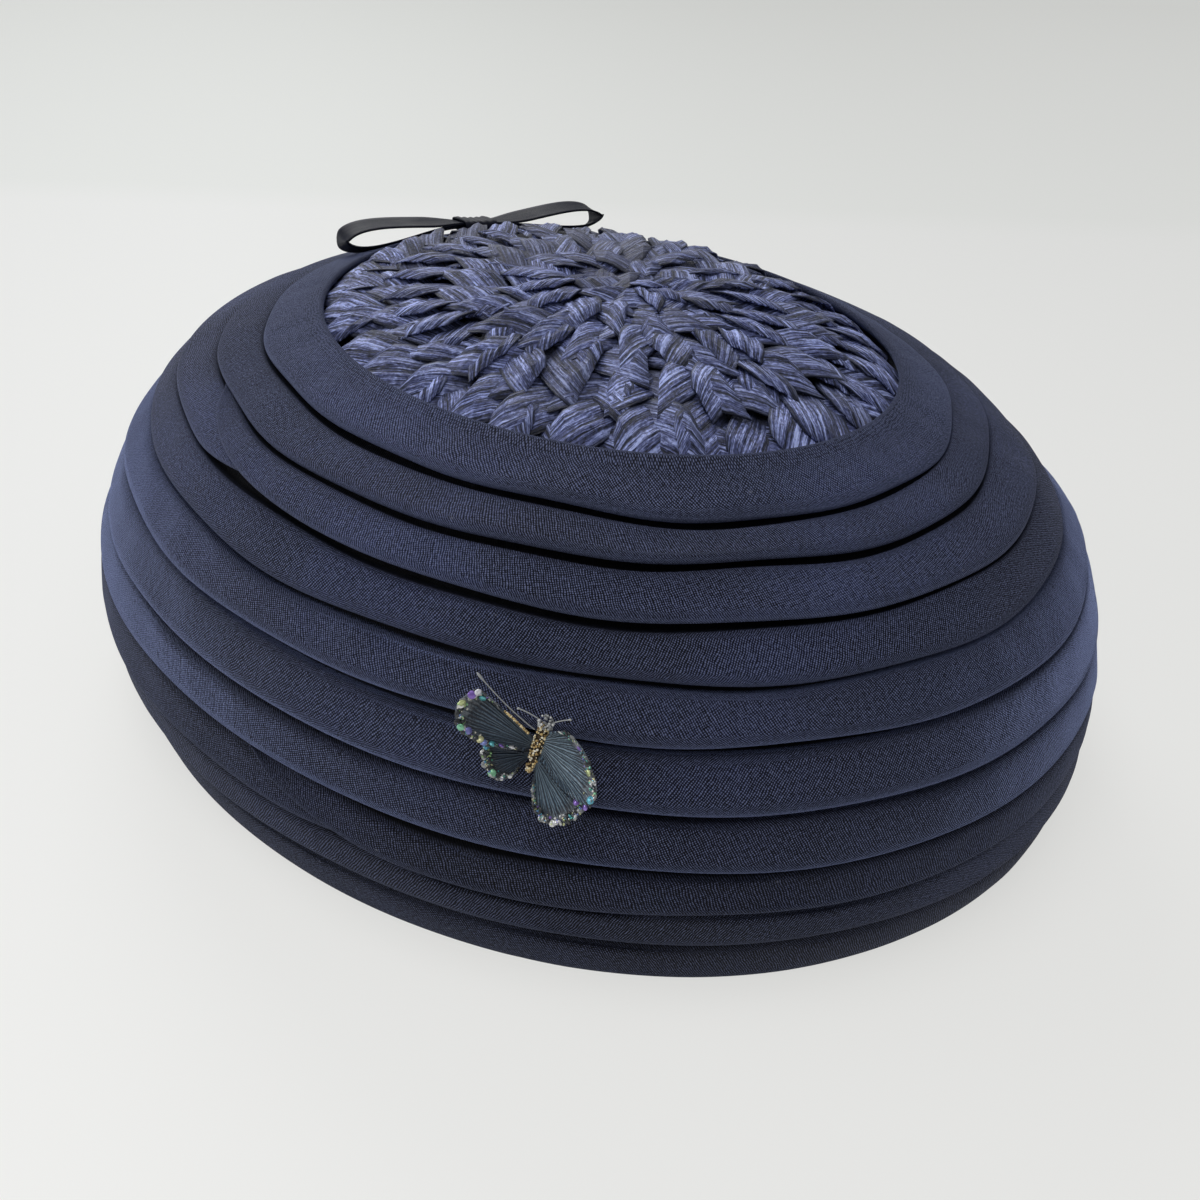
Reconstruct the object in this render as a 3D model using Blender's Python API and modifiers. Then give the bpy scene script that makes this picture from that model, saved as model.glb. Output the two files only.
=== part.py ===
"""Navy pillbox hat: ten folded bias-cloth tiers round a plaited straw top.

Metres, +Z up. The hat stands on its rim at z = 0 with its long way along X,
and the origin lies under the middle of its widest girth.
"""
import math

import bmesh
import bpy
from mathutils import Matrix, Vector

# Driving dimensions of the crown
BASE_LENGTH = 0.200
BASE_WIDTH = 0.172
CROWN_HEIGHT = 0.0709
WALL = 0.0014
GAP = 0.0003
TUCK = 0.0032
BULGE = 0.0004
ROLL = 0.00035
AROUND = 40

# Straw top
STRAW_RISE = 0.0098
STRAW_EDGE_RISE = 0.0022
STRAW_BACK_RISE = 0.0042
STRAW_BACK_ANGLE = 125.0
STRAW_EDGE_SHARE = 0.95
STRAW_WALL = 0.0026
STRAW_HEM_WALL = 0.0012
STRAW_MARGIN = 0.0035
STRAW_RELIEF = 0.0010
STRAW_SPOKES = 52
STRAW_RINGS = 10
STRAW_FULLNESS = 2.3
STRAW_UNDER_SHARES = (0.18, 0.42, 0.68, 0.88)

# Bow of narrow satin ribbon on the first tier
BOW_ANGLE = 144.4
RIBBON_WIDTH = 0.0068
RIBBON_THICKNESS = 0.0010
LOOP_REACH = 0.0300
LOOP_HEIGHT = 0.0046
LOOP_STEPS = 20
LOOP_FULLNESS = 3
KNOT_LENGTH = 0.0080

# Butterfly pinned over the fifth fold's edge
BUTTERFLY_ANGLE = -66.6
BUTTERFLY_DROP = 0.0023
BUTTERFLY_LEAN = 13.0
BODY_LENGTH = 0.0082
BODY_RADIUS = 0.0010
BODY_SIDES = 10
WING_SPAN = 0.0120
WING_THICKNESS = 0.0010
ANTENNA_RADIUS = 0.0003

# Each row is the lower edge of one tier, and the first the rim of the straw:
# height as a share of the crown height, half length and half width as shares
# of the base's, and shifts as shares of the base's length and width
FOLDS = (
    # name, height, half_length, half_width, shift_x, shift_y
    ("straw_rim", 1.000, 0.560, 0.510, 0.0076, 0.0072),
    ("fold_01", 0.931, 0.663, 0.615, 0.0070, 0.0027),
    ("fold_02", 0.889, 0.743, 0.710, 0.0028, 0.0018),
    ("fold_03", 0.814, 0.835, 0.779, 0.0007, -0.0010),
    ("fold_04", 0.719, 0.898, 0.843, 0.0011, 0.0006),
    ("fold_05", 0.629, 0.953, 0.917, 0.0036, 0.0003),
    ("fold_06", 0.498, 0.993, 0.957, 0.0035, -0.0052),
    ("fold_07", 0.372, 1.027, 0.973, -0.0008, -0.0095),
    ("fold_08", 0.257, 1.034, 1.002, -0.0009, -0.0048),
    ("fold_09", 0.140, 1.031, 1.006, 0.0023, 0.0028),
    ("fold_10", 0.000, 1.000, 1.000, 0.0100, 0.0081),
)

# Loops of the bow: side along the rim, droop of the far end in degrees
BOW_LOOPS = (
    # name, side, droop
    ("bow_loop_left", 1, 6.0),
    ("bow_loop_right", -1, 0.5),
)

# Turned body, tail to head: distance from the tail as a share of its length,
# radius as a share of the body's radius
BODY_PROFILE = (
    # along, radius
    (0.00, 0.00),
    (0.06, 0.42),
    (0.30, 0.72),
    (0.50, 0.86),
    (0.66, 1.00),
    (0.78, 0.62),
    (0.84, 0.78),
    (0.93, 0.80),
    (0.98, 0.45),
    (1.00, 0.00),
)

# Wings: side, lift off the cloth in degrees, and the outline in shares of the
# span, outward from the body and along it towards the head
WINGS = (
    # name, side, lift, outline
    ("butterfly_wing_left_upper", -1, 24.0, (
        (0.16, 0.14), (0.56, 0.40), (0.98, 0.64), (1.10, 0.33), (1.03, 0.13),
        (0.88, -0.02), (0.65, -0.04), (0.40, -0.05), (0.16, -0.04))),
    ("butterfly_wing_left_lower", -1, 14.0, (
        (0.16, -0.09), (0.44, -0.13), (0.63, -0.16), (0.61, -0.28),
        (0.49, -0.44), (0.32, -0.51), (0.19, -0.42), (0.16, -0.25))),
    ("butterfly_wing_right_upper", 1, 26.0, (
        (0.16, 0.20), (0.32, 0.28), (0.52, 0.20), (0.71, 0.03), (0.84, -0.15),
        (0.83, -0.33), (0.58, -0.33), (0.34, -0.22), (0.16, -0.07))),
    ("butterfly_wing_right_lower", 1, 16.0, (
        (0.16, -0.14), (0.34, -0.30), (0.58, -0.42), (0.76, -0.42),
        (0.68, -0.56), (0.56, -0.76), (0.36, -0.82), (0.22, -0.72),
        (0.16, -0.45))),
)

# Antennae: side, and steps on from beside the head in shares of the span,
# outward, along and off the cloth
ANTENNAE = (
    # name, side, steps
    ("butterfly_antenna_left", -1, ((0.00, 0.00, 0.00), (0.18, 0.06, 0.08),
                                    (0.33, 0.07, 0.10))),
    ("butterfly_antenna_right", 1, ((0.00, 0.00, 0.00), (0.12, 0.10, 0.07),
                                    (0.24, 0.16, 0.09))),
)

# Base colour, roughness and metallic value of each material
MATERIALS = {
    "navy_cloth": ((0.020, 0.026, 0.070, 1.0), 0.75, 0.0),
    "navy_straw": ((0.060, 0.070, 0.150, 1.0), 0.60, 0.0),
    "satin_ribbon": ((0.012, 0.014, 0.035, 1.0), 0.35, 0.0),
    "wing_cloth": ((0.080, 0.120, 0.220, 1.0), 0.45, 0.0),
    "gold_glitter": ((0.420, 0.330, 0.200, 1.0), 0.35, 0.8),
}

STEP = WALL + GAP


def clear_objects():
    """Remove what the open file holds."""
    for item in list(bpy.data.objects):
        bpy.data.objects.remove(item, do_unlink=True)


def make_material(name):
    """Return a Principled material with the colour of the real piece."""
    colour, roughness, metallic = MATERIALS[name]
    material = bpy.data.materials.new(name)
    material.use_nodes = True
    shader = material.node_tree.nodes["Principled BSDF"]
    shader.inputs["Base Color"].default_value = colour
    shader.inputs["Roughness"].default_value = roughness
    shader.inputs["Metallic"].default_value = metallic
    return material


def add_object(name, data, material, collection, matrix=None):
    """Link an object to the hat's collection and give it its material."""
    piece = bpy.data.objects.new(name, data)
    if matrix is not None:
        piece.matrix_world = matrix
    data.materials.append(material)
    collection.objects.link(piece)
    return piece


def smooth_mesh(mesh, angle=40.0):
    """Shade a mesh smooth and keep the edges that are sharper than an angle."""
    mesh.shade_smooth()
    mesh.set_sharp_from_angle(angle=math.radians(angle))


def edge_point(row, angle):
    """Return the point of one tier's lower edge at an angle in radians."""
    _, height, half_length, half_width, shift_x, shift_y = FOLDS[row]
    return Vector((
        BASE_LENGTH * (shift_x + half_length / 2 * math.cos(angle)),
        BASE_WIDTH * (shift_y + half_width / 2 * math.sin(angle)),
        CROWN_HEIGHT * height,
    ))


def edge_tangent(row, angle):
    """Return the direction of one tier's edge, counterclockwise."""
    _, _, half_length, half_width, _, _ = FOLDS[row]
    return Vector((
        -BASE_LENGTH * half_length * math.sin(angle),
        BASE_WIDTH * half_width * math.cos(angle),
        0.0,
    )).normalized()


def band_frame(row, angle):
    """Return the upper and lower edge points and outward normal of a band."""
    upper = edge_point(row - 1, angle)
    lower = edge_point(row, angle)
    normal = edge_tangent(row, angle).cross(upper - lower).normalized()
    return upper, lower, normal


def seat_point(row, angle):
    """Return the point where a band leaves the edge above it, and its way up."""
    upper, _, normal = band_frame(row, angle)
    if row == 1:
        return upper, None, normal
    above = middle_point(row - 1, angle)
    way_up = (above - upper).normalized()
    above_normal = edge_tangent(row - 1, angle).cross(way_up).normalized()
    return upper - above_normal * STEP, way_up, above_normal


def middle_point(row, angle):
    """Return the fullest point of a band, half way down it."""
    _, lower, normal = band_frame(row, angle)
    seat, _, _ = seat_point(row, angle)
    return (seat + lower) / 2 + normal * BULGE


def fold_section(row, angle):
    """Return the closed section of one tier, from its tucked top outward."""
    _, lower, _ = band_frame(row, angle)
    seat, way_up, above_normal = seat_point(row, angle)
    middle = middle_point(row, angle)
    tangent = edge_tangent(row, angle)
    upper_normal = tangent.cross(seat - middle).normalized()
    lower_normal = tangent.cross(middle - lower).normalized()
    middle_normal = (upper_normal + lower_normal).normalized()
    down = (lower - middle).normalized()
    points = []
    if way_up is not None:
        points.append(seat + way_up * TUCK)
    points.append(seat)
    points.append(middle)
    points.append(lower)
    if row < len(FOLDS) - 1:
        points.append(lower - lower_normal * WALL / 2 + down * ROLL)
        points.append(lower - lower_normal * WALL)
    else:
        inner = Vector((lower_normal.x, lower_normal.y, 0.0)).normalized()
        points.append(lower - inner * WALL)
    points.append(middle - middle_normal * WALL)
    if way_up is None:
        points.append(seat - upper_normal * WALL)
    else:
        seat_normal = (upper_normal + above_normal).normalized()
        points.append(seat - seat_normal * WALL)
        points.append(seat + way_up * TUCK - above_normal * WALL)
    return points


def loft(sections, closed_way):
    """Return a mesh lofted through sections of like count, each a closed loop."""
    form = bmesh.new()
    loops = [[form.verts.new(point) for point in section] for section in sections]
    pairs = list(zip(loops, loops[1:]))
    if closed_way:
        pairs.append((loops[-1], loops[0]))
    count = len(loops[0])
    for first, second in pairs:
        for index in range(count):
            other = (index + 1) % count
            form.faces.new((first[index], first[other], second[other], second[index]))
    if not closed_way:
        form.faces.new(loops[0])
        form.faces.new(loops[-1])
    return finish_form(form, "loft")


def finish_form(form, name):
    """Face a closed form outward and return it as a mesh."""
    bmesh.ops.recalc_face_normals(form, faces=form.faces)
    mesh = bpy.data.meshes.new(name)
    form.to_mesh(mesh)
    form.free()
    return mesh


def around(count):
    """Return the angles of one turn in equal steps."""
    return [math.tau * index / count for index in range(count)]


def build_folds(material, collection):
    """Make the ten overlapping tiers, each one ring with its top tucked away."""
    for row in range(1, len(FOLDS)):
        sections = [fold_section(row, angle) for angle in around(AROUND)]
        mesh = loft(sections, closed_way=True)
        smooth_mesh(mesh)
        add_object(FOLDS[row][0], mesh, material, collection)


def straw_rim(angle):
    """Return the straw's point under the first tier's top edge, and its frame."""
    rim = edge_point(0, angle)
    way_down = (middle_point(1, angle) - rim).normalized()
    normal = edge_tangent(0, angle).cross(-way_down).normalized()
    return rim - normal * STEP, way_down, normal


def straw_height(share, angle):
    """Return the dome's height over its rim at a share of the way to it."""
    back = (1.0 + math.cos(angle - math.radians(STRAW_BACK_ANGLE))) / 2
    edge = STRAW_EDGE_RISE + STRAW_BACK_RISE * back ** 2
    inward = min(share / STRAW_EDGE_SHARE, 1.0)
    return edge + (STRAW_RISE - edge) * (1.0 - inward ** STRAW_FULLNESS)


def straw_section(index, angle):
    """Return one spoke of the straw: its top inwards, then its underside."""
    rim, way_down, normal = straw_rim(angle)
    hem = rim + way_down * STRAW_MARGIN
    centre = straw_centre()
    outer = [hem, rim]
    for ring in range(STRAW_RINGS):
        share = STRAW_EDGE_SHARE * (1.0 - ring / STRAW_RINGS)
        point = centre.lerp(rim, share)
        point.z = rim.z + straw_height(share, angle)
        if (ring + index) % 2:
            point.z -= STRAW_RELIEF
        outer.append(point)
    inner = []
    for share in STRAW_UNDER_SHARES:
        point = centre.lerp(rim, share)
        point.z = rim.z + straw_height(share, angle) - STRAW_WALL - STRAW_RELIEF
        inner.append(point)
    inner.append(rim - normal * STRAW_HEM_WALL)
    inner.append(hem - normal * STRAW_HEM_WALL)
    return outer, inner


def straw_centre():
    """Return the point where the plaits meet, level with the straw's rim."""
    middle = edge_point(0, 0.0).lerp(edge_point(0, math.pi), 0.5)
    offset = Vector((BASE_LENGTH * 0.022, BASE_WIDTH * 0.013, 0.0))
    return middle + offset


def build_straw(material, collection):
    """Make the domed plaited top, its margin hidden under the first tier."""
    form = bmesh.new()
    spokes = []
    for index, angle in enumerate(around(STRAW_SPOKES)):
        outer, inner = straw_section(index, angle)
        spokes.append([form.verts.new(point) for point in reversed(outer)]
                      + [form.verts.new(point) for point in reversed(inner)])
    centre = straw_centre()
    level = straw_rim(0.0)[0].z
    crown = form.verts.new((centre.x, centre.y, level + STRAW_RISE))
    under = form.verts.new((centre.x, centre.y,
                            level + STRAW_RISE - STRAW_WALL - STRAW_RELIEF))
    count = len(spokes[0])
    for first, second in zip(spokes, spokes[1:] + spokes[:1]):
        form.faces.new((crown, first[0], second[0]))
        for step in range(count - 1):
            form.faces.new((first[step], first[step + 1],
                            second[step + 1], second[step]))
        form.faces.new((under, second[-1], first[-1]))
    mesh = finish_form(form, "straw_top")
    smooth_mesh(mesh, 20.0)
    add_object("straw_top", mesh, material, collection)


def bow_frame():
    """Return the knot's frame: along the rim, down the slope, off the cloth."""
    angle = math.radians(BOW_ANGLE)
    along = edge_tangent(1, angle)
    upper, lower, normal = band_frame(1, angle)
    down = (lower - upper).normalized()
    seat = middle_point(1, angle)
    middle = seat + normal * (GAP + knot_half_height() + knot_settle())
    frame = Matrix((along, down, normal)).transposed().to_4x4()
    frame.translation = middle
    return frame


def knot_settle():
    """Return how far the round of the tier falls away under the knot."""
    half = KNOT_LENGTH / 2
    return half ** 2 / BASE_LENGTH


def strand_height(share):
    """Return a strand's height off the bow's middle at a share of its turn."""
    phase = math.tau * share
    strand = (RIBBON_THICKNESS + GAP) / 2 * math.cos(phase / 2)
    swell = math.sin(phase) * abs(math.sin(phase / 2)) ** LOOP_FULLNESS
    fullest = 2 * math.atan(math.sqrt(LOOP_FULLNESS + 1))
    peak = math.sin(fullest) * math.sin(fullest / 2) ** LOOP_FULLNESS
    half = (LOOP_HEIGHT - RIBBON_THICKNESS) / 2
    return strand + half * swell / peak


def knot_half_height():
    """Return half the knot's outer height, round both strands and its wall."""
    cosine = 1.0 - KNOT_LENGTH / LOOP_REACH
    share = math.acos(cosine) / math.tau
    strands = strand_height(share) + RIBBON_THICKNESS / 2
    return strands + GAP + RIBBON_THICKNESS


def add_thickness(piece, thickness):
    """Give an open surface a wall, centred on it."""
    wall = piece.modifiers.new("wall", "SOLIDIFY")
    wall.thickness = thickness
    wall.offset = 0.0
    wall.use_even_offset = True


def ribbon_mesh(name, route, width, closed):
    """Return a flat ribbon's surface along a route, extruded across it."""
    form = bmesh.new()
    verts = [form.verts.new((x, -width / 2, z)) for x, z in route]
    edges = [form.edges.new(pair) for pair in zip(verts, verts[1:])]
    if closed:
        edges.append(form.edges.new((verts[-1], verts[0])))
    grown = bmesh.ops.extrude_edge_only(form, edges=edges)["geom"]
    moved = [item for item in grown if isinstance(item, bmesh.types.BMVert)]
    bmesh.ops.translate(form, verts=moved, vec=(0.0, width, 0.0))
    bmesh.ops.recalc_face_normals(form, faces=form.faces)
    mesh = bpy.data.meshes.new(name)
    form.to_mesh(mesh)
    form.free()
    return mesh


def build_bow(material, collection):
    """Make the two ribbon loops and the knot that holds their ends."""
    frame = bow_frame()
    for name, side, droop in BOW_LOOPS:
        route = []
        for step in range(LOOP_STEPS + 1):
            share = step / LOOP_STEPS
            reach = LOOP_REACH * (1.0 - math.cos(math.tau * share)) / 2
            route.append((GAP / 2 + reach, strand_height(share)))
        mesh = ribbon_mesh(name, route, RIBBON_WIDTH, closed=False)
        bend_down(mesh, math.radians(droop))
        turn = Matrix.Diagonal((side, side, 1.0, 1.0))
        loop = add_object(name, mesh, material, collection, frame @ turn)
        add_thickness(loop, RIBBON_THICKNESS)
    build_knot(frame, material, collection)


def bend_down(mesh, droop):
    """Lower a loop's far end by a slope that starts beyond the knot."""
    start = KNOT_LENGTH / 2 + GAP
    for vertex in mesh.vertices:
        beyond = max(vertex.co.x - start, 0.0)
        ease = beyond / (beyond + KNOT_LENGTH / 2)
        vertex.co.z -= beyond * ease * math.tan(droop)


def build_knot(frame, material, collection):
    """Make the wrapped knot: a short flat tube round the loops' ends."""
    half_height = knot_half_height() - RIBBON_THICKNESS / 2
    half_width = RIBBON_WIDTH / 2 + GAP + RIBBON_THICKNESS / 2
    corner = half_height * 0.5
    route = []
    for centre_x, centre_z, start in ((1, 1, 0), (-1, 1, 90), (-1, -1, 180), (1, -1, 270)):
        for turn in (0, 45, 90):
            angle = math.radians(start + turn)
            route.append((
                centre_x * half_width + corner * (math.cos(angle) - centre_x * 0.3),
                centre_z * (half_height - corner) + corner * math.sin(angle),
            ))
    mesh = ribbon_mesh("bow_knot", route, KNOT_LENGTH, closed=True)
    turn = Matrix.Rotation(math.radians(90.0), 4, "Z")
    knot = add_object("bow_knot", mesh, material, collection, frame @ turn)
    add_thickness(knot, RIBBON_THICKNESS)


def butterfly_frame():
    """Return the butterfly's frame: right, towards the head, off the cloth."""
    angle = math.radians(BUTTERFLY_ANGLE)
    upper, lower, normal = band_frame(6, angle)
    along = edge_tangent(5, angle)
    way_down = (lower - upper).normalized()
    right = (along - normal * along.dot(normal)).normalized()
    frame = Matrix((right, -way_down, normal)).transposed().to_4x4()
    frame.translation = (upper + way_down * BUTTERFLY_DROP
                         + normal * (BODY_RADIUS + GAP))
    return frame @ Matrix.Rotation(math.radians(-BUTTERFLY_LEAN), 4, "Z")


def build_butterfly(materials, collection):
    """Make the butterfly's body, four wings and two antennae."""
    frame = butterfly_frame()
    build_body(frame, materials["gold_glitter"], collection)
    for name, side, lift, outline in WINGS:
        build_wing(name, side, lift, outline, frame, materials["wing_cloth"], collection)
    for name, side, steps in ANTENNAE:
        build_antenna(name, side, steps, frame, materials["gold_glitter"], collection)


def build_body(frame, material, collection):
    """Turn the body's profile about its own length."""
    mesh = bpy.data.meshes.new("butterfly_body")
    profile = [(BODY_RADIUS * radius, 0.0, BODY_LENGTH * (0.5 - along))
               for along, radius in BODY_PROFILE]
    edges = [(index, index + 1) for index in range(len(profile) - 1)]
    mesh.from_pydata(profile, edges, [])
    upright = Matrix.Rotation(math.radians(90.0), 4, "X")
    body = add_object("butterfly_body", mesh, material, collection, frame @ upright)
    turned = body.modifiers.new("turned", "SCREW")
    turned.steps = BODY_SIDES
    turned.render_steps = BODY_SIDES
    turned.use_merge_vertices = True
    turned.merge_threshold = 0.00001
    turned.use_smooth_shade = True


def build_wing(name, side, lift, outline, frame, material, collection):
    """Cut one wing from its flat outline, lifted off the cloth at its root."""
    curve = bpy.data.curves.new(name, "CURVE")
    curve.dimensions = "2D"
    curve.fill_mode = "BOTH"
    curve.extrude = WING_THICKNESS / 2
    spline = curve.splines.new("POLY")
    spline.points.add(len(outline) - 1)
    for point, (out, along) in zip(spline.points, outline):
        point.co = (side * WING_SPAN * out, WING_SPAN * along, 0.0, 1.0)
    spline.use_cyclic_u = True
    tilt = Matrix.Rotation(math.radians(-side * lift), 4, "Y")
    add_object(name, curve, material, collection, frame @ tilt)


def build_antenna(name, side, steps, frame, material, collection):
    """Draw one antenna as a thin wire from beside the head."""
    start = Vector((side * (ANTENNA_RADIUS + GAP), BODY_LENGTH / 2 + GAP, 0.0))
    curve = bpy.data.curves.new(name, "CURVE")
    curve.dimensions = "3D"
    curve.bevel_depth = ANTENNA_RADIUS
    curve.bevel_resolution = 1
    curve.use_fill_caps = True
    spline = curve.splines.new("POLY")
    spline.points.add(len(steps) - 1)
    for point, (out, along, off) in zip(spline.points, steps):
        step = Vector((side * out, along, off)) * WING_SPAN
        point.co = (start + step).to_4d()
    add_object(name, curve, material, collection, frame)


def main():
    """Build the whole hat."""
    clear_objects()
    collection = bpy.data.collections.new("navy_pillbox_hat")
    bpy.context.scene.collection.children.link(collection)
    materials = {name: make_material(name) for name in MATERIALS}
    build_folds(materials["navy_cloth"], collection)
    build_straw(materials["navy_straw"], collection)
    build_bow(materials["satin_ribbon"], collection)
    build_butterfly(materials, collection)


main()
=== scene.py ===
"""Looks of the navy pillbox hat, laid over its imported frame.

Ten folded tiers of bias-cut cloth ring a plaited straw top. A narrow ribbon bow
lies behind the straw, and a small sequinned butterfly is pinned to the front.
Metres, +Z up, the long way of the hat along X.
"""

import logging
import math
from dataclasses import dataclass
from enum import Enum
from typing import Callable, Optional

import bmesh
import bpy
import numpy
from mathutils import Matrix, Vector


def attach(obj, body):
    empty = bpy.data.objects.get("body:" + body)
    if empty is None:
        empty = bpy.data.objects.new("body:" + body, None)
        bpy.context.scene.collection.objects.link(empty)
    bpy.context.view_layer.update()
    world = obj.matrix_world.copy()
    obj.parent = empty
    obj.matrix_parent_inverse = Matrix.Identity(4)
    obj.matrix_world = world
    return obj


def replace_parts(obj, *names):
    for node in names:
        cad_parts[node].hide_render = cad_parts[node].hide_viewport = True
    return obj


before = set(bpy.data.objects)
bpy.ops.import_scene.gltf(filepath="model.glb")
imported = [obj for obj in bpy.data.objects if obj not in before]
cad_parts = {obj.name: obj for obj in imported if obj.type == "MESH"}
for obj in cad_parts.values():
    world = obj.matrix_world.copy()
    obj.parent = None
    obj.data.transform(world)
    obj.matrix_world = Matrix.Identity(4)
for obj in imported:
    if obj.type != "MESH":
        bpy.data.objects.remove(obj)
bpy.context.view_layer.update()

LOG = logging.getLogger("pillbox_hat")
MM = 0.001
UV_NAME = "lay"
TINT_NAME = "tint"
# How open to the light each point lies; the cloth and straw paint it into their colour as shade
OPEN_NAME = "open_to_light"

Array = numpy.ndarray
Generator = numpy.random.Generator
Form = bmesh.types.BMesh
Triple = tuple[float, float, float]
Colour = Triple
Range = tuple[float, float]
# Gives a grid's points, or values on them, for shares along and across it
Placer = Callable[[Array, Array], Array]


class Slot(Enum):
    """Material slots of the record."""

    CLOTH = "navy_cloth"
    STRAW = "navy_straw"
    RIBBON = "satin_ribbon"
    WING = "wing_cloth"
    GOLD = "gold_glitter"


class Side(Enum):
    """Left or right, as a sign along the piece's own way across."""

    LEFT = -1
    RIGHT = 1


# Shader nodes
class Sketch:
    """A material's node tree, with short calls to add and join nodes."""

    def __init__(self, name: str) -> None:
        """Start a material with a Principled shader.

        Args:
            name: The material's name.
        """
        self.material = bpy.data.materials.new(name)
        self.material.use_nodes = True
        self.tree = self.material.node_tree
        self.shader = self.tree.nodes["Principled BSDF"]

    def set(self, **values: object) -> None:
        """Set the shader's own sockets, named with underscores for spaces."""
        for name, value in values.items():
            self.shader.inputs[name.replace("_", " ")].default_value = value

    def node(self, kind: str, **settings: object) -> bpy.types.Node:
        """Add a node.

        Args:
            kind: The node type's name without its ShaderNode prefix.
            settings: Its own settings.

        Returns:
            The new node.
        """
        made = self.tree.nodes.new("ShaderNode" + kind)
        for name, value in settings.items():
            setattr(made, name, value)
        return made

    def join(self, source: object, target: object) -> None:
        """Link an output to an input."""
        self.tree.links.new(source, target)

    def mapped(self, vector: object, scale: Triple, turn: float) -> object:
        """Return coordinates turned about Z, in degrees, and scaled."""
        mapping = self.node("Mapping")
        mapping.inputs["Rotation"].default_value = (0.0, 0.0, math.radians(turn))
        mapping.inputs["Scale"].default_value = scale
        self.join(vector, mapping.inputs["Vector"])
        return mapping.outputs["Vector"]

    def lay(self, scale: Triple = (1.0, 1.0, 1.0), turn: float = 0.0) -> object:
        """Return the piece's own lay of cloth or strand as coordinates."""
        return self.mapped(self.node("UVMap", uv_map=UV_NAME).outputs["UV"], scale, turn)

    def place(self, scale: Triple = (1.0, 1.0, 1.0), turn: float = 0.0) -> object:
        """Return object coordinates, scaled and turned."""
        return self.mapped(self.node("TexCoord").outputs["Object"], scale, turn)

    def parts(self, vector: object) -> object:
        """Return the X, Y and Z outputs of a vector."""
        made = self.node("SeparateXYZ")
        self.join(vector, made.inputs["Vector"])
        return made.outputs

    def attribute(self, name: str) -> object:
        """Return a float attribute of the piece's points."""
        return self.node("Attribute", attribute_name=name).outputs["Fac"]

    def noise(self, vector: object, scale: float, detail: float = 2.0,
              roughness: float = 0.5) -> object:
        """Return the factor of a noise texture."""
        made = self.node("TexNoise")
        made.inputs["Scale"].default_value = scale
        made.inputs["Detail"].default_value = detail
        made.inputs["Roughness"].default_value = roughness
        self.join(vector, made.inputs["Vector"])
        return made.outputs["Fac"]

    def fibres(self, along: float, across: float, detail: float = 2.0,
               roughness: float = 0.5, turn: float = 0.0) -> object:
        """Return noise drawn out over the piece's own lay.

        Args:
            along: Scale of the noise along the lay.
            across: Its scale across the lay.
            detail: Its octaves.
            roughness: What each octave keeps of the last.
            turn: Turn of the lay, in degrees.

        Returns:
            The noise's factor.
        """
        return self.noise(self.lay((along, across, 1.0), turn), 1.0, detail, roughness)

    def threads(self, vector: object, pitch: float, direction: str,
                waver: float, waver_scale: float = 0.3) -> object:
        """Return a row of threads as soft waves.

        Args:
            vector: Coordinates in metres.
            pitch: Distance from one thread to the next, in metres.
            direction: X or Y, the way across the threads.
            waver: How far the threads wander, in radians.
            waver_scale: How quickly they wander.

        Returns:
            The factor of a wave texture.
        """
        made = self.node("TexWave", bands_direction=direction)
        made.inputs["Scale"].default_value = math.tau / 20.0 / pitch
        made.inputs["Distortion"].default_value = waver
        made.inputs["Detail"].default_value = 1.0
        made.inputs["Detail Scale"].default_value = waver_scale
        self.join(vector, made.inputs["Vector"])
        return made.outputs["Fac"]

    def sum(self, first: object, second: object, share: float) -> object:
        """Return the first value plus a share of the second."""
        made = self.node("Math", operation="MULTIPLY_ADD")
        self.join(second, made.inputs[0])
        made.inputs[1].default_value = share
        self.join(first, made.inputs[2])
        return made.outputs["Value"]

    def ramp(self, factor: object, stops: tuple[tuple[float, Colour], ...]) -> object:
        """Return a colour ramp's colour for a factor."""
        made = self.node("ValToRGB")
        band = made.color_ramp
        while len(band.elements) < len(stops):
            band.elements.new(0.5)
        for element, (position, colour) in zip(band.elements, stops):
            element.position = position
            element.color = (*colour, 1.0)
        self.join(factor, made.inputs["Fac"])
        return made.outputs["Color"]

    def range(self, factor: object, low: float, high: float,
              to_low: float = 0.0, to_high: float = 1.0) -> object:
        """Return a factor mapped from one range to another, clamped."""
        made = self.node("MapRange")
        self.join(factor, made.inputs["Value"])
        for name, value in (("From Min", low), ("From Max", high),
                            ("To Min", to_low), ("To Max", to_high)):
            made.inputs[name].default_value = value
        return made.outputs["Result"]

    def product(self, first: object, second: object) -> object:
        """Return the product of two values."""
        made = self.node("Math", operation="MULTIPLY")
        self.join(first, made.inputs[0])
        self.join(second, made.inputs[1])
        return made.outputs["Value"]

    def scaled(self, colour: object, factor: object) -> object:
        """Return a colour times a factor."""
        made = self.node("VectorMath", operation="SCALE")
        self.join(colour, made.inputs[0])
        self.join(factor, made.inputs["Scale"])
        return made.outputs["Vector"]

    def mix(self, first: object, second: object, factor: object) -> object:
        """Mix two colours, each a socket or a colour, by a socket or a number."""
        made = self.node("Mix", data_type="RGBA")
        for value, socket in ((factor, made.inputs[0]), (first, made.inputs[6]),
                              (second, made.inputs[7])):
            if isinstance(value, bpy.types.NodeSocket):
                self.join(value, socket)
            elif isinstance(value, tuple):
                socket.default_value = (*value, 1.0)
            else:
                socket.default_value = value
        return made.outputs[2]

    def bump(self, height: object, distance: float, strength: float = 1.0) -> None:
        """Give the shader a bump of a height in metres."""
        made = self.node("Bump")
        made.inputs["Distance"].default_value = distance
        made.inputs["Strength"].default_value = strength
        self.join(height, made.inputs["Height"])
        self.join(made.outputs["Normal"], self.shader.inputs["Normal"])

    def colour(self, colour: object) -> None:
        """Give the shader its base colour."""
        self.join(colour, self.shader.inputs["Base Color"])

    def rough(self, factor: object) -> None:
        """Give the shader its roughness."""
        self.join(factor, self.shader.inputs["Roughness"])


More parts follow.
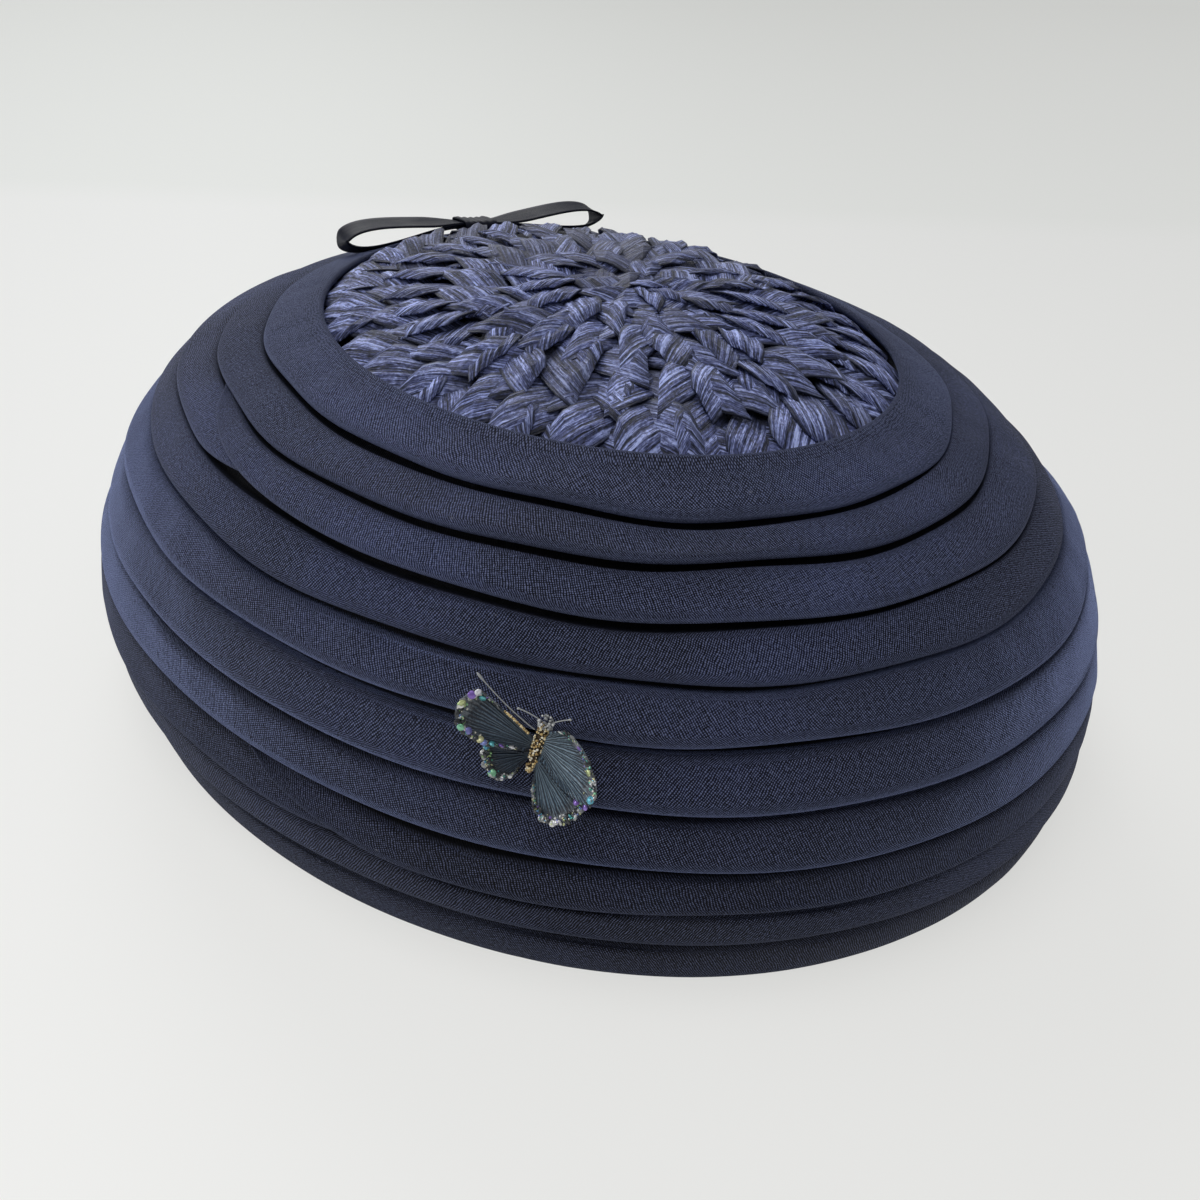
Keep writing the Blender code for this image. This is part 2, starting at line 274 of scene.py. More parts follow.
# Finishes
@dataclass(frozen=True)
class ClothFinish:
    """Plain-woven navy dress cloth with fine ribs and slubs, painted shade in its tucks, a
    painted highlight on its lower fold and a painted brightness for each tier.
    """

    name: str
    shade: Colour = (0.014, 0.017, 0.038)
    body: Colour = (0.024, 0.029, 0.062)
    light: Colour = (0.038, 0.047, 0.108)
    worn: Colour = (0.018, 0.018, 0.027)
    thread: Colour = (0.165, 0.192, 0.325)
    lint: Colour = (0.16, 0.17, 0.22)
    # Painted shade: near-black colour painted into the tucks under the tier above
    tuck: Colour = (0.0012, 0.0014, 0.0030)
    # Painted light and shade: scales the tier's colour lighter or darker for how the light falls
    # on it
    painted_brightness: float = 1.0
    rib: float = 0.00037
    weft: float = 0.00032
    waver: float = 4.4
    waver_scale: float = 0.7
    grain: float = 8.0
    slubs: float = 0.5
    slub_spread: float = 0.17
    sheen: float = 0.34

    def weave(self, sketch: Sketch) -> object:
        """Return the height of the crossing threads, from valleys to knots."""
        lay = sketch.lay(turn=self.grain)
        ribs = sketch.threads(lay, self.rib, "X", self.waver, self.waver_scale)
        weft = sketch.threads(lay, self.weft, "Y", self.waver - 0.2, self.waver_scale)
        grain = sketch.fibres(1700.0, 2100.0, 2.0, 0.7, self.grain)
        return sketch.sum(sketch.sum(sketch.product(ribs, weft), ribs, 0.55), grain, 2.2)

    def dye(self, sketch: Sketch, streaks: object) -> object:
        """Return the cloth's colour with its slubs, clouds and worn places."""
        runs = sketch.fibres(50.0, 1300.0, 2.0, 0.6, self.grain)
        cloud = sketch.noise(sketch.place(), 28.0, 3.0, 0.55)
        tone = sketch.sum(sketch.sum(cloud, streaks, self.slubs), runs, self.slubs * 0.5)
        middle = 0.5 + 0.75 * self.slubs
        tone = sketch.range(tone, middle - self.slub_spread, middle + self.slub_spread)
        base = sketch.ramp(tone, ((0.0, self.shade), (0.5, self.body), (1.0, self.light)))
        faded = sketch.noise(sketch.place((1.0, 1.0, 3.2)), 15.0, 2.0, 0.5)
        return sketch.mix(base, self.worn, sketch.range(faded, 0.50, 0.68, 0.0, 0.60))

    def specks(self, sketch: Sketch) -> object:
        """Return where small specks of lint lie."""
        lint = sketch.node("TexVoronoi", feature="F1")
        lint.inputs["Scale"].default_value = 95.0
        sketch.join(sketch.place((1.0, 1.0, 2.4)), lint.inputs["Vector"])
        return sketch.range(lint.outputs["Distance"], 0.018, 0.040, 0.55, 0.0)

    def make(self) -> bpy.types.Material:
        """Return the cloth's material."""
        sketch = Sketch(self.name)
        weave = self.weave(sketch)
        streaks = sketch.fibres(1500.0, 60.0, 3.0, 0.6, self.grain)
        # Darker in the weave's valleys, partly the threads' own pattern and partly painted shade,
        # all times the tier's painted brightness
        weave_shade = sketch.range(weave, 1.20, 2.12, 0.14 * self.painted_brightness, 1.44 * self.painted_brightness)
        fleck = sketch.range(weave, 1.90, 2.42, 0.0, 1.55 * self.painted_brightness)
        woven = sketch.mix(sketch.scaled(self.dye(sketch, streaks), weave_shade), self.thread, fleck)
        woven = sketch.mix(woven, self.lint, self.specks(sketch))
        # Painted shade and highlight: deep in the tuck the strip is painted with the tuck colour,
        # and its lower fold gets a thin painted highlight of thread colour
        opened = sketch.attribute(OPEN_NAME)
        folded = sketch.range(opened, 0.92, 1.0, 0.0, 0.11 * self.painted_brightness)
        tucked = sketch.range(opened, 0.0, 0.92, 1.0, 0.0)
        sketch.colour(sketch.mix(sketch.mix(woven, self.thread, folded), self.tuck, tucked))
        sketch.bump(sketch.sum(weave, streaks, 0.8), 0.00010, 0.7)
        sketch.set(Roughness=0.80, Specular_IOR_Level=0.15, Sheen_Weight=self.sheen,
                   Sheen_Roughness=0.30, Sheen_Tint=(0.46, 0.56, 1.0, 1.0))
        return sketch.material


@dataclass(frozen=True)
class StrawFinish:
    """Crinkled paper straw: fine lengthwise fibres with pale ridges, partly painted highlight,
    and painted shade at the strands' edges and roots.
    """

    name: str
    dark: Colour = (0.006, 0.008, 0.020)
    body: Colour = (0.052, 0.063, 0.156)
    mid: Colour = (0.142, 0.168, 0.362)
    pale: Colour = (0.370, 0.430, 0.740)
    brown: Colour = (0.062, 0.064, 0.092)
    gloss: float = 0.40

    def make(self) -> bpy.types.Material:
        """Return the straw's material."""
        sketch = Sketch(self.name)
        fibres = sketch.fibres(75.0, 2200.0, 3.0, 0.75)
        strands = sketch.fibres(45.0, 700.0)
        grit = sketch.fibres(1100.0, 2400.0, 2.0, 0.6)
        height = sketch.sum(sketch.sum(fibres, strands, 0.45), grit, 0.35)
        # Pale ridges: partly the fibres' own colour, partly painted highlight where the fibres'
        # gloss would catch the light
        base = sketch.ramp(sketch.range(height, 0.79, 1.04), (
            (0.03, self.dark), (0.40, self.body), (0.68, self.mid), (1.0, self.pale)))
        # Painted shade: strands are painted dark at their edges and roots, where they tuck under
        # one another
        hollow_shade = sketch.range(sketch.attribute(OPEN_NAME), 0.05, 0.75, 1.0, 0.0)
        base = sketch.mix(base, self.dark, hollow_shade)
        # A high tint greys a strand brown and darkens it; the tint is partly random and partly
        # painted shade on strands facing away from the light
        tint = sketch.attribute(TINT_NAME)
        greyed = sketch.mix(base, self.brown, sketch.range(tint, 0.60, 1.0, 0.0, 0.55))
        sketch.colour(sketch.scaled(greyed, sketch.range(tint, 0.0, 1.0, 1.56, 0.88)))
        sketch.bump(height, 0.00080, 1.0)
        sketch.rough(sketch.range(fibres, 0.3, 0.7, 0.62, 0.34))
        sketch.set(Specular_IOR_Level=self.gloss, Sheen_Weight=0.35 * self.gloss,
                   Sheen_Roughness=0.35, Sheen_Tint=(0.60, 0.68, 1.0, 1.0))
        return sketch.material


@dataclass(frozen=True)
class SatinFinish:
    """Dark satin ribbon with fine lengthwise lines."""

    name: str
    body: Colour = (0.004, 0.005, 0.010)
    light: Colour = (0.009, 0.010, 0.020)

    def make(self) -> bpy.types.Material:
        """Return the ribbon's material."""
        sketch = Sketch(self.name)
        lines = sketch.threads(sketch.lay(), 0.00022, "Y", 1.0)
        cloud = sketch.fibres(160.0, 700.0, 3.0, 0.6)
        tone = sketch.range(sketch.sum(cloud, lines, 0.12), 0.35, 0.80)
        sketch.colour(sketch.mix(self.body, self.light, tone))
        sketch.bump(lines, 0.00004, 0.5)
        sketch.rough(sketch.range(cloud, 0.3, 0.7, 0.42, 0.56))
        sketch.set(Specular_IOR_Level=0.09, Sheen_Weight=0.02, Sheen_Roughness=0.3,
                   Sheen_Tint=(0.7, 0.75, 1.0, 1.0), Anisotropic=0.4)
        return sketch.material


@dataclass(frozen=True)
class WingFinish:
    """Moulded wing cloth, ribbed from its root, with a dark glittered border."""

    name: str
    root: Colour = (0.012, 0.020, 0.034)
    field: Colour = (0.050, 0.095, 0.150)
    fuzz: Colour = (0.330, 0.440, 0.530)
    border: Colour = (0.006, 0.008, 0.016)
    silver: Colour = (0.260, 0.290, 0.320)
    silver_share: float = 0.0
    pale_root: float = 0.4
    rim: Range = (0.0, 1.0)
    veins: float = 38.0

    def make(self) -> bpy.types.Material:
        """Return the wing's material, whose lay runs out (x) and round (y), 0 to 1."""
        sketch = Sketch(self.name)
        lay = sketch.parts(sketch.lay())
        out = lay["X"]
        after = sketch.range(lay["Y"], self.rim[1], self.rim[1] + 0.04, 0.0, 1.0)
        before = sketch.range(lay["Y"], self.rim[0] - 0.04, self.rim[0], 1.0, 0.0)
        inside = sketch.sum(after, before, 1.0)
        veins = sketch.threads(sketch.lay(), 1.0 / self.veins, "Y", 1.2, 0.6)
        cloud = sketch.noise(sketch.place(), 1100.0, 3.0, 0.65)
        grit = sketch.noise(sketch.place(), 3600.0, 2.0, 0.6)
        streaks = sketch.fibres(7.0, 150.0, 2.0, 0.6)
        reach = sketch.sum(sketch.sum(out, cloud, 0.30), inside, -0.30)
        base = sketch.ramp(reach, ((0.08, self.root), (0.34, self.field), (0.80, self.field),
                                   (0.97, self.border)))
        hairs = sketch.sum(sketch.sum(streaks, grit, 0.6), out, -0.40)
        base = sketch.mix(base, self.fuzz, sketch.range(hairs, 0.40, 0.66, 0.0, self.pale_root))
        base = sketch.mix(base, self.border, sketch.range(veins, 0.25, 0.60, 0.90, 0.0))
        edge = sketch.sum(sketch.sum(out, cloud, 0.6), inside, -0.5)
        silvered = sketch.range(edge, 1.10, 1.24, 0.0, self.silver_share)
        sketch.colour(sketch.mix(base, self.silver, silvered))
        sketch.bump(sketch.sum(sketch.sum(veins, cloud, 0.6), grit, 0.5), 0.00020, 0.9)
        sketch.rough(sketch.range(cloud, 0.3, 0.7, 0.35, 0.6))
        sketch.set(Specular_IOR_Level=0.5, Sheen_Weight=0.25, Sheen_Roughness=0.3,
                   Sheen_Tint=(0.70, 0.85, 1.0, 1.0))
        return sketch.material


@dataclass(frozen=True)
class SparkFinish:
    """Glittering metal foil whose hue comes from each flake's own tint."""

    name: str
    stops: tuple[tuple[float, Colour], ...]
    roughness: float = 0.25
    metal: float = 0.85

    def make(self) -> bpy.types.Material:
        """Return the foil's material."""
        sketch = Sketch(self.name)
        cloud = sketch.noise(sketch.place(), 2600.0, 2.0, 0.6)
        tint = sketch.sum(sketch.attribute(TINT_NAME), cloud, 0.06)
        sketch.colour(sketch.ramp(tint, self.stops))
        sketch.bump(cloud, 0.00006, 0.7)
        sketch.rough(sketch.range(cloud, 0.3, 0.7, self.roughness, self.roughness + 0.2))
        sketch.set(Metallic=self.metal, Specular_IOR_Level=0.6, Coat_Weight=0.25,
                   Coat_Roughness=0.2)
        return sketch.material


@dataclass(frozen=True)
class PaperFinish:
    """Pale matt studio paper that turns softly greyer past a line behind the hat, with painted
    light falling off across it and a glow that lifts the hat's shadow.
    """

    name: str
    near: Colour = (0.900, 0.900, 0.880)
    brim: Colour = (0.745, 0.750, 0.735)
    line: Colour = (0.705, 0.718, 0.695)
    far: Colour = (0.530, 0.540, 0.515)
    beside: Colour = (0.66, 0.66, 0.64)
    turn: float = 32.9
    distance: float = 0.271
    glow: float = 0.74

    def make(self) -> bpy.types.Material:
        """Return the paper's material."""
        sketch = Sketch(self.name)
        away = sketch.parts(sketch.place(turn=-self.turn))
        # Painted light: the paper is lightest in front of the hat and greys behind it and towards
        # the right, as the light falls off, with a soft step at the line
        reach = sketch.range(away["Y"], self.distance - 0.5, self.distance + 0.5)
        tone = sketch.ramp(reach, ((0.10, self.near), (0.490, self.brim),
                                   (0.515, self.line), (1.0, self.far)))
        side = sketch.range(away["X"], -0.12, 0.30, 0.0, 0.46)
        tone = sketch.mix(tone, self.beside, side)
        # The paper partly glows, a painted fill light that lifts the hat's shadow on it; its base
        # colour gives the rest
        sketch.join(tone, sketch.shader.inputs["Emission Color"])
        sketch.colour(sketch.mix(tone, (0.0, 0.0, 0.0), self.glow))
        sketch.bump(sketch.noise(sketch.place(), 220.0, 3.0, 0.6), 0.0002, 0.15)
        sketch.set(Roughness=0.62, Specular_IOR_Level=0.20, Emission_Strength=self.glow)
        return sketch.material


IRIS_STOPS = (
    (0.00, (0.16, 0.05, 0.34)),
    (0.18, (0.30, 0.20, 0.62)),
    (0.36, (0.10, 0.36, 0.52)),
    (0.52, (0.12, 0.52, 0.42)),
    (0.68, (0.40, 0.60, 0.20)),
    (0.82, (0.72, 0.66, 0.40)),
    (1.00, (0.80, 0.80, 0.86)),
)

SMOKE_STOPS = (
    (0.00, (0.008, 0.009, 0.012)),
    (0.50, (0.070, 0.074, 0.080)),
    (0.75, (0.380, 0.390, 0.390)),
    (1.00, (0.900, 0.900, 0.880)),
)

# Gold of the body and grains; the palest stops are painted glints on the brightest grains
GOLD_AND_GLINT_STOPS = (
    (0.00, (0.030, 0.022, 0.016)),
    (0.45, (0.10, 0.06, 0.025)),
    (0.64, (0.66, 0.45, 0.17)),
    (0.82, (1.00, 0.84, 0.48)),
    (1.00, (1.00, 0.97, 0.86)),
)


# Meshes
def float_layer(form: Form, name: str) -> bmesh.types.BMLayerItem:
    """Return a form's layer of one number for each point, made if it isn't there."""
    layers = form.verts.layers.float
    return layers.get(name) or layers.new(name)


def add_grid(form: Form, along: int, across: int, place: Placer,
             size: Range = (1.0, 1.0), shift: Range = (0.0, 0.0), tint: float = 0.0,
             opened: Optional[Placer] = None) -> None:
    """Add a grid to a form and move its points to where a function puts them.

    Args:
        form: The form that is added to.
        along: Faces along the grid.
        across: Faces across it.
        place: Gives the points for arrays of shares along and across, 0 to 1.
        size: Size of the lay along and across, for the UV map.
        shift: Start of the lay.
        tint: Value of the tint attribute on these points.
        opened: Gives how open to the light the points lie, for the same arrays.
    """
    lay = form.loops.layers.uv.get(UV_NAME) or form.loops.layers.uv.new(UV_NAME)
    tints = float_layer(form, TINT_NAME)
    if opened is not None:
        opens = float_layer(form, OPEN_NAME)
    verts = bmesh.ops.create_grid(form, x_segments=along, y_segments=across, size=1.0)["verts"]
    shares = numpy.array([(vert.co.x, vert.co.y) for vert in verts])
    shares = (shares - shares.min(axis=0)) / numpy.ptp(shares, axis=0)
    places = dict(zip(verts, shares))
    for face in {face for vert in verts for face in vert.link_faces}:
        for loop in face.loops:
            share = places[loop.vert]
            loop[lay].uv = (shift[0] + share[0] * size[0], shift[1] + share[1] * size[1])
    for vert, point in zip(verts, place(shares[:, 0], shares[:, 1])):
        vert.co = point
        vert[tints] = tint
    if opened is not None:
        for vert, value in zip(verts, opened(shares[:, 0], shares[:, 1])):
            vert[opens] = value


def add_flake(form: Form, seat: Matrix, radius: float, thick: float,
              tint: float, sides: int) -> None:
    """Add one round flake with softened edges, lying on a seat's X and Y."""
    tints = float_layer(form, TINT_NAME)
    made = bmesh.ops.create_cone(form, cap_ends=True, segments=sides, radius1=radius,
                                 radius2=radius * 0.86, depth=thick, matrix=seat)
    for vert in made["verts"]:
        vert[tints] = tint


def add_grain(form: Form, spot: Vector, radius: Range, tints: Range,
              chance: Generator, speckled: bool = False) -> None:
    """Add one small round grain.

    Args:
        form: The form of all grains.
        spot: The grain's middle.
        radius: Its least and largest radius, in millimetres.
        tints: Its least and largest tint.
        chance: Seeded random numbers.
        speckled: Whether each of its points has a tint of its own.
    """
    layer = float_layer(form, TINT_NAME)
    made = bmesh.ops.create_icosphere(form, subdivisions=1, radius=chance.uniform(*radius) * MM,
                                      matrix=Matrix.Translation(spot))
    tint = 0.0 if speckled else chance.uniform(*tints)
    for vert in made["verts"]:
        vert[layer] = chance.uniform(*tints) if speckled else tint


def tilted(chance: Generator, most: float) -> Matrix:
    """Return a random tilt about X and Y, each up to a number of radians."""
    turn = Matrix.Rotation(chance.uniform(-most, most), 4, "X")
    return turn @ Matrix.Rotation(chance.uniform(-most, most), 4, "Y")


def seated(seat: Matrix, *ways: Array) -> Array:
    """Return points for their distances along a seat's X, Y and Z."""
    local = numpy.column_stack((*ways, numpy.ones(len(ways[0]))))
    return (local @ numpy.array(seat).T)[:, :3]


def close_form(form: Form, distance: float = 0.000004) -> None:
    """Merge a form's seams and poles and face it outwards."""
    bmesh.ops.remove_doubles(form, verts=form.verts, dist=distance)
    bmesh.ops.recalc_face_normals(form, faces=form.faces)


def add_object(name: str, data: bpy.types.ID) -> bpy.types.Object:
    """Add an object to the scene."""
    made = bpy.data.objects.new(name, data)
    bpy.context.scene.collection.objects.link(made)
    return made


def add_mesh(form: Form, name: str, material: bpy.types.Material) -> bpy.types.Object:
    """Turn a form, freed here, into an object of one material."""
    mesh = bpy.data.meshes.new(name)
    form.to_mesh(mesh)
    form.free()
    mesh.materials.append(material)
    return add_object(name, mesh)


def finish_piece(form: Form, name: str, material: bpy.types.Material,
                 wall: float = 0.0) -> bpy.types.Object:
    """Make a form into a piece that rides on the hat.

    Args:
        form: The form, freed here.
        name: The piece's name.
        material: Its material.
        wall: Thickness to give an open surface, or 0.

    Returns:
        The new object.
    """
    piece = add_mesh(form, name, material)
    piece.data.shade_smooth()
    if wall:
        thickness = piece.modifiers.new("wall", "SOLIDIFY")
        thickness.thickness = wall
        thickness.offset = 0.0
    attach(piece, "root")
    LOG.info("%s: %d faces", name, len(piece.data.polygons))
    return piece


def smooth_step(value: Array, start: float, end: float) -> Array:
    """Ease from 0 at start to 1 at end."""
    share = numpy.clip((value - start) / (end - start), 0.0, 1.0)
    return share * share * (3.0 - 2.0 * share)


def unit(vectors: Array) -> Array:
    """Scale vectors to length 1."""
    return vectors / numpy.linalg.norm(vectors, axis=-1, keepdims=True)


def ring_waves(angles: Array, seed: int, counts: tuple[int, ...],
               height: float) -> Array:
    """Return gentle waves round the hat that meet themselves.

    Args:
        angles: Angles in radians.
        seed: Seed of the phases and strengths.
        counts: Waves in one turn, one entry for each train of waves.
        height: Their common height.

    Returns:
        One value for each angle.
    """
    chance = numpy.random.default_rng(seed)
    total = numpy.zeros_like(angles)
    for count in counts:
        strength = chance.uniform(0.4, 1.0)
        total += strength * numpy.sin(count * angles + chance.uniform(0.0, math.tau))
    return height * total / math.sqrt(len(counts))


# The crown
@dataclass(frozen=True)
class EdgeOval:
    """Lower edge of one tier, in shares of the hat's sizes."""

    node: str
    height: float
    half_length: float
    half_width: float
    shift_x: float
    shift_y: float


EDGES = (
    EdgeOval("straw_rim", 1.000, 0.560, 0.510, 0.0076, 0.0072),
    EdgeOval("fold_01", 0.931, 0.663, 0.615, 0.0070, 0.0027),
    EdgeOval("fold_02", 0.889, 0.743, 0.710, 0.0028, 0.0018),
    EdgeOval("fold_03", 0.814, 0.835, 0.779, 0.0007, -0.0010),
    EdgeOval("fold_04", 0.719, 0.898, 0.843, 0.0011, 0.0006),
    EdgeOval("fold_05", 0.629, 0.953, 0.917, 0.0036, 0.0003),
    EdgeOval("fold_06", 0.498, 0.993, 0.957, 0.0035, -0.0052),
    EdgeOval("fold_07", 0.372, 1.027, 0.973, -0.0008, -0.0095),
    EdgeOval("fold_08", 0.257, 1.034, 1.002, -0.0009, -0.0048),
    EdgeOval("fold_09", 0.140, 1.031, 1.006, 0.0023, 0.0028),
    EdgeOval("fold_10", 0.000, 1.000, 1.000, 0.0100, 0.0081),
)


@dataclass(frozen=True)
class CrownShape:
    """The hat's ovals, sized from the frame."""

    length: float
    width: float
    height: float

    @classmethod
    def from_frame(cls) -> "CrownShape":
        """Read the base's length and width and the crown's height."""
        base = [vertex.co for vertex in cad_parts["fold_10"].data.vertices]
        lowest = min(point.z for point in base)
        rim = [point for point in base if point.z < lowest + 0.1 * MM]
        length = max(point.x for point in rim) - min(point.x for point in rim)
        width = max(point.y for point in rim) - min(point.y for point in rim)
        height = max(vertex.co.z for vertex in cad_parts["fold_01"].data.vertices)
        return cls(length, width, height - lowest)

    def edge(self, row: int, angles: Array) -> Array:
        """Return points of a tier's lower edge."""
        oval = EDGES[row]
        return numpy.stack((
            self.length * (oval.shift_x + oval.half_length / 2 * numpy.cos(angles)),
            self.width * (oval.shift_y + oval.half_width / 2 * numpy.sin(angles)),
            numpy.full_like(angles, self.height * oval.height),
        ), axis=-1)

    def tangent(self, row: int, angles: Array) -> Array:
        """Return the edge's direction, counterclockwise."""
        oval = EDGES[row]
        return unit(numpy.stack((
            -self.length * oval.half_length * numpy.sin(angles),
            self.width * oval.half_width * numpy.cos(angles),
            numpy.zeros_like(angles),
        ), axis=-1))

    def band(self, row: int, angles: Array) -> tuple[Array, ...]:
        """Return a band's upper points, reach, way down and outward normals."""
        upper = self.edge(row - 1, angles)
        across = self.edge(row, angles) - upper
        reach = numpy.linalg.norm(across, axis=-1)
        normal = unit(numpy.cross(self.tangent(row, angles), -across))
        return upper, reach, across / reach[:, None], normal

    def perimeter(self, row: int) -> float:
        """Return the length of a tier's lower edge."""
        points = self.edge(row, numpy.linspace(0.0, math.tau, 361))
        return float(numpy.linalg.norm(numpy.diff(points, axis=0), axis=1).sum())

    def seat(self, row: int, degrees: float) -> Matrix:
        """Return a frame on a band's upper edge: along, down the slope, off the cloth."""
        angles = numpy.array([math.radians(degrees)])
        upper, _, down, normal = self.band(row, angles)
        along = numpy.cross(down, normal)
        seat = Matrix([*zip(along[0], down[0], normal[0])]).to_4x4()
        seat.translation = Vector(upper[0])
        return seat


@dataclass(frozen=True)
class Lap:
    """Place where a strip's start lies over its own end, its angles in degrees."""

    emerge: float
    slant: float
    overlap: float
    sink: float = 0.28
    sink_ease: float = 18.0
    over_ease: Range = (6.0, 34.0)
    under_ease: float = 24.0
    over_off: Range = (-0.00042, 0.00080)
    under_off: Range = (-0.00105, -0.00025)


# Section of a folded strip: share of the band, then millimetres on down the
# slope and off the edges' slope
TOP_SECTION = (
    (0.45, 0.0, -1.40), (0.15, 0.0, -1.30), (0.0, 1.20, -1.15), (0.0, 0.45, -0.95),
    (0.0, 0.10, -0.72), (0.0, 0.00, -0.48), (0.0, 0.14, -0.22), (0.0, 0.55, -0.06),
)
TUCKED_SECTION = (
    (0.0, -3.00, -2.35), (0.0, -1.40, -2.32), (0.0, -0.30, -2.25), (0.0, 0.70, -2.12),
    (0.0, 1.15, -1.75), (0.0, 1.34, -1.05), (0.0, 1.58, -0.52), (0.0, 2.15, -0.24),
)
BAND_SECTION = (
    (0.26, 0.0, -0.02), (0.38, 0.0, 0.14), (0.50, 0.0, 0.24), (0.62, 0.0, 0.28),
    (0.74, 0.0, 0.27), (0.85, 0.0, 0.23), (1.0, -1.20, 0.17), (1.0, -0.65, 0.10),
    (1.0, -0.28, -0.01), (1.0, -0.07, -0.19), (1.0, 0.00, -0.46), (1.0, -0.08, -0.74),
    (1.0, -0.36, -0.95), (1.0, -1.10, -1.04), (0.60, 0.0, -0.98),
)
TOP_TAIL = ((0.50, 0.0, -0.98), (0.42, 0.0, -1.00))
TUCKED_TAIL = (
    (0.36, 0.0, -1.30), (0.0, 1.60, -2.35), (0.0, -0.40, -2.78), (0.0, -2.80, -2.90),
)


@dataclass
class Tier:
    """One tier: a strip of cloth folded double, its lower fold showing."""

    row: int
    crown: CrownShape
    finish: ClothFinish
    lap: Optional[Lap] = None
    steps: int = 300
    cloth: float = 0.00036
    waver: float = 0.00055
    gape: float = 0.00050
    ripple: float = 0.00016
    full_band: float = 0.0120
    settle: float = 0.0030

    def section(self) -> Array:
        """Return the strip's section as rows of share, along and off."""
        if self.row == 1:
            rows = TOP_SECTION + BAND_SECTION + TOP_TAIL
        else:
            rows = TUCKED_SECTION + BAND_SECTION + TUCKED_TAIL
        return numpy.array(rows) * (1.0, MM, MM)

    def stations(self, across: Array) -> Array:
        """Return the section's rows at shares across the strip."""
        section = self.section()
        return section[numpy.rint(across * (len(section) - 1)).astype(int)]

    def turn(self) -> tuple[float, float]:
        """Return the strip's first angle and how far it goes round, in degrees."""
        if self.lap is None:
            return 180.0, 360.0
        return self.lap.emerge, 360.0 + self.lap.overlap

    def drop(self, row: int, angles: Array) -> Array:
        """Return how far a tier's lower fold wavers down the slope."""
        return ring_waves(angles, 100 + row, (2, 3, 5, 8, 13), self.waver)

    def slack(self, angles: Array, station: Array) -> Array:
        """Return how wide the tuck gapes under the tier above, as a factor."""
        facing = 0.5 - 0.5 * numpy.sin(angles - 0.30)
        uneven = ring_waves(angles, 200 + self.row, (3, 5, 8, 13), 0.30)
        tucked = (station[:, 0] < 0.01) & (station[:, 1] > 0.0) & (self.row > 1)
        return numpy.where(tucked, numpy.clip(0.40 + facing ** 3 + uneven, 0.22, 1.9), 1.0)

    def lift(self, angles: Array, share: Array) -> Array:
        """Return how far the lower fold stands off the tier below."""
        front = 0.5 - 0.5 * numpy.sin(angles + 0.25)
        uneven = ring_waves(angles, 300 + self.row, (2, 4, 7, 11), self.ripple)
        return smooth_step(share, 0.45, 1.0) * (self.gape * front * (self.row < 10) + uneven)

    def swell(self, angles: Array, station: Array) -> Array:
        """Return the puffs and drag lines of the band between its two edges."""
        share = station[:, 0]
        band = numpy.clip(4.0 * share * (1.0 - share), 0.0, 1.0)
        puff = band * ring_waves(angles, 500 + self.row, (3, 5, 9, 14), self.ripple)
        outer = station[:, 2] > -0.9 * MM
        return numpy.where(outer, puff + band * self.drag(angles, share), 0.5 * puff)

    def place(self, along: Array, across: Array) -> Array:
        """Return the strip's points for shares along and across it."""
        station = self.stations(across)
        first, turned = self.turn()
        degrees = first + turned * along
        angles = numpy.radians(degrees)
        upper, reach, down, normal = self.crown.band(self.row, angles)
        shown, squeeze, off_seat, off_band = reach, 1.0, 0.0, 0.0
        if self.lap is not None:
            shown, squeeze, off_seat, off_band = self.lapped(degrees, reach)
        slack = numpy.clip(shown / self.full_band, 0.10, 1.0) * self.slack(angles, station)
        slope = station[:, 0] * (shown + self.drop(self.row, angles)) + station[:, 1] * slack
        if self.row > 1:
            slope = slope + (1.0 - station[:, 0]) * self.drop(self.row - 1, angles)
        off = station[:, 2] * squeeze + self.lift(angles, station[:, 0])
        off = off + self.swell(angles, station)
        on_band = smooth_step(slope, 0.0, self.settle)
        off = off + off_seat * (1.0 - on_band) + off_band * on_band
        if self.row > 1:
            _, _, above_down, above_normal = self.crown.band(self.row - 1, angles)
            down = numpy.where((slope < 0.0)[:, None], above_down, down)
            blend = smooth_step(slope, -self.settle / 3, self.settle)[:, None]
            normal = unit(above_normal * (1.0 - blend) + normal * blend)
        points = upper + down * slope[:, None] + normal * off[:, None]
        if self.row == len(EDGES) - 1:
            points[:, 2] = numpy.maximum(points[:, 2], self.cloth / 2)
        return points

    def opened(self, along: Array, across: Array) -> Array:
        """Return how open to the light the strip's points lie, for the cloth's painted shade:
        least in its tucks, more down the band and most on its lower fold.
        """
        station = self.stations(across)
        inmost = -1.6 if self.row == 1 else -1.05
        clear_of_tuck_shade = smooth_step(station[:, 2], inmost * MM, -0.36 * MM)
        on_fold_highlight = (station[:, 0] > 0.95) & (station[:, 1] > -0.40 * MM)
        # Painted shade eases lighter down the band towards the lower fold, and the fold itself is
        # lightest, for its painted highlight
        return clear_of_tuck_shade * (0.74 + 0.18 * smooth_step(station[:, 0], 0.0, 0.62) + 0.08 * on_fold_highlight)

    def drag(self, angles: Array, share: Array) -> Array:
        """Return the soft slanting drag lines of bias-cut cloth."""
        chance = numpy.random.default_rng(700 + self.row)
        total = numpy.zeros_like(angles)
        for count in (17, 26, 37, 52):
            lean = chance.uniform(-3.5, 3.5)
            phase = chance.uniform(0.0, math.tau)
            total += chance.uniform(0.3, 1.0) * numpy.sin(count * angles + lean * share + phase)
        return 0.00007 * total

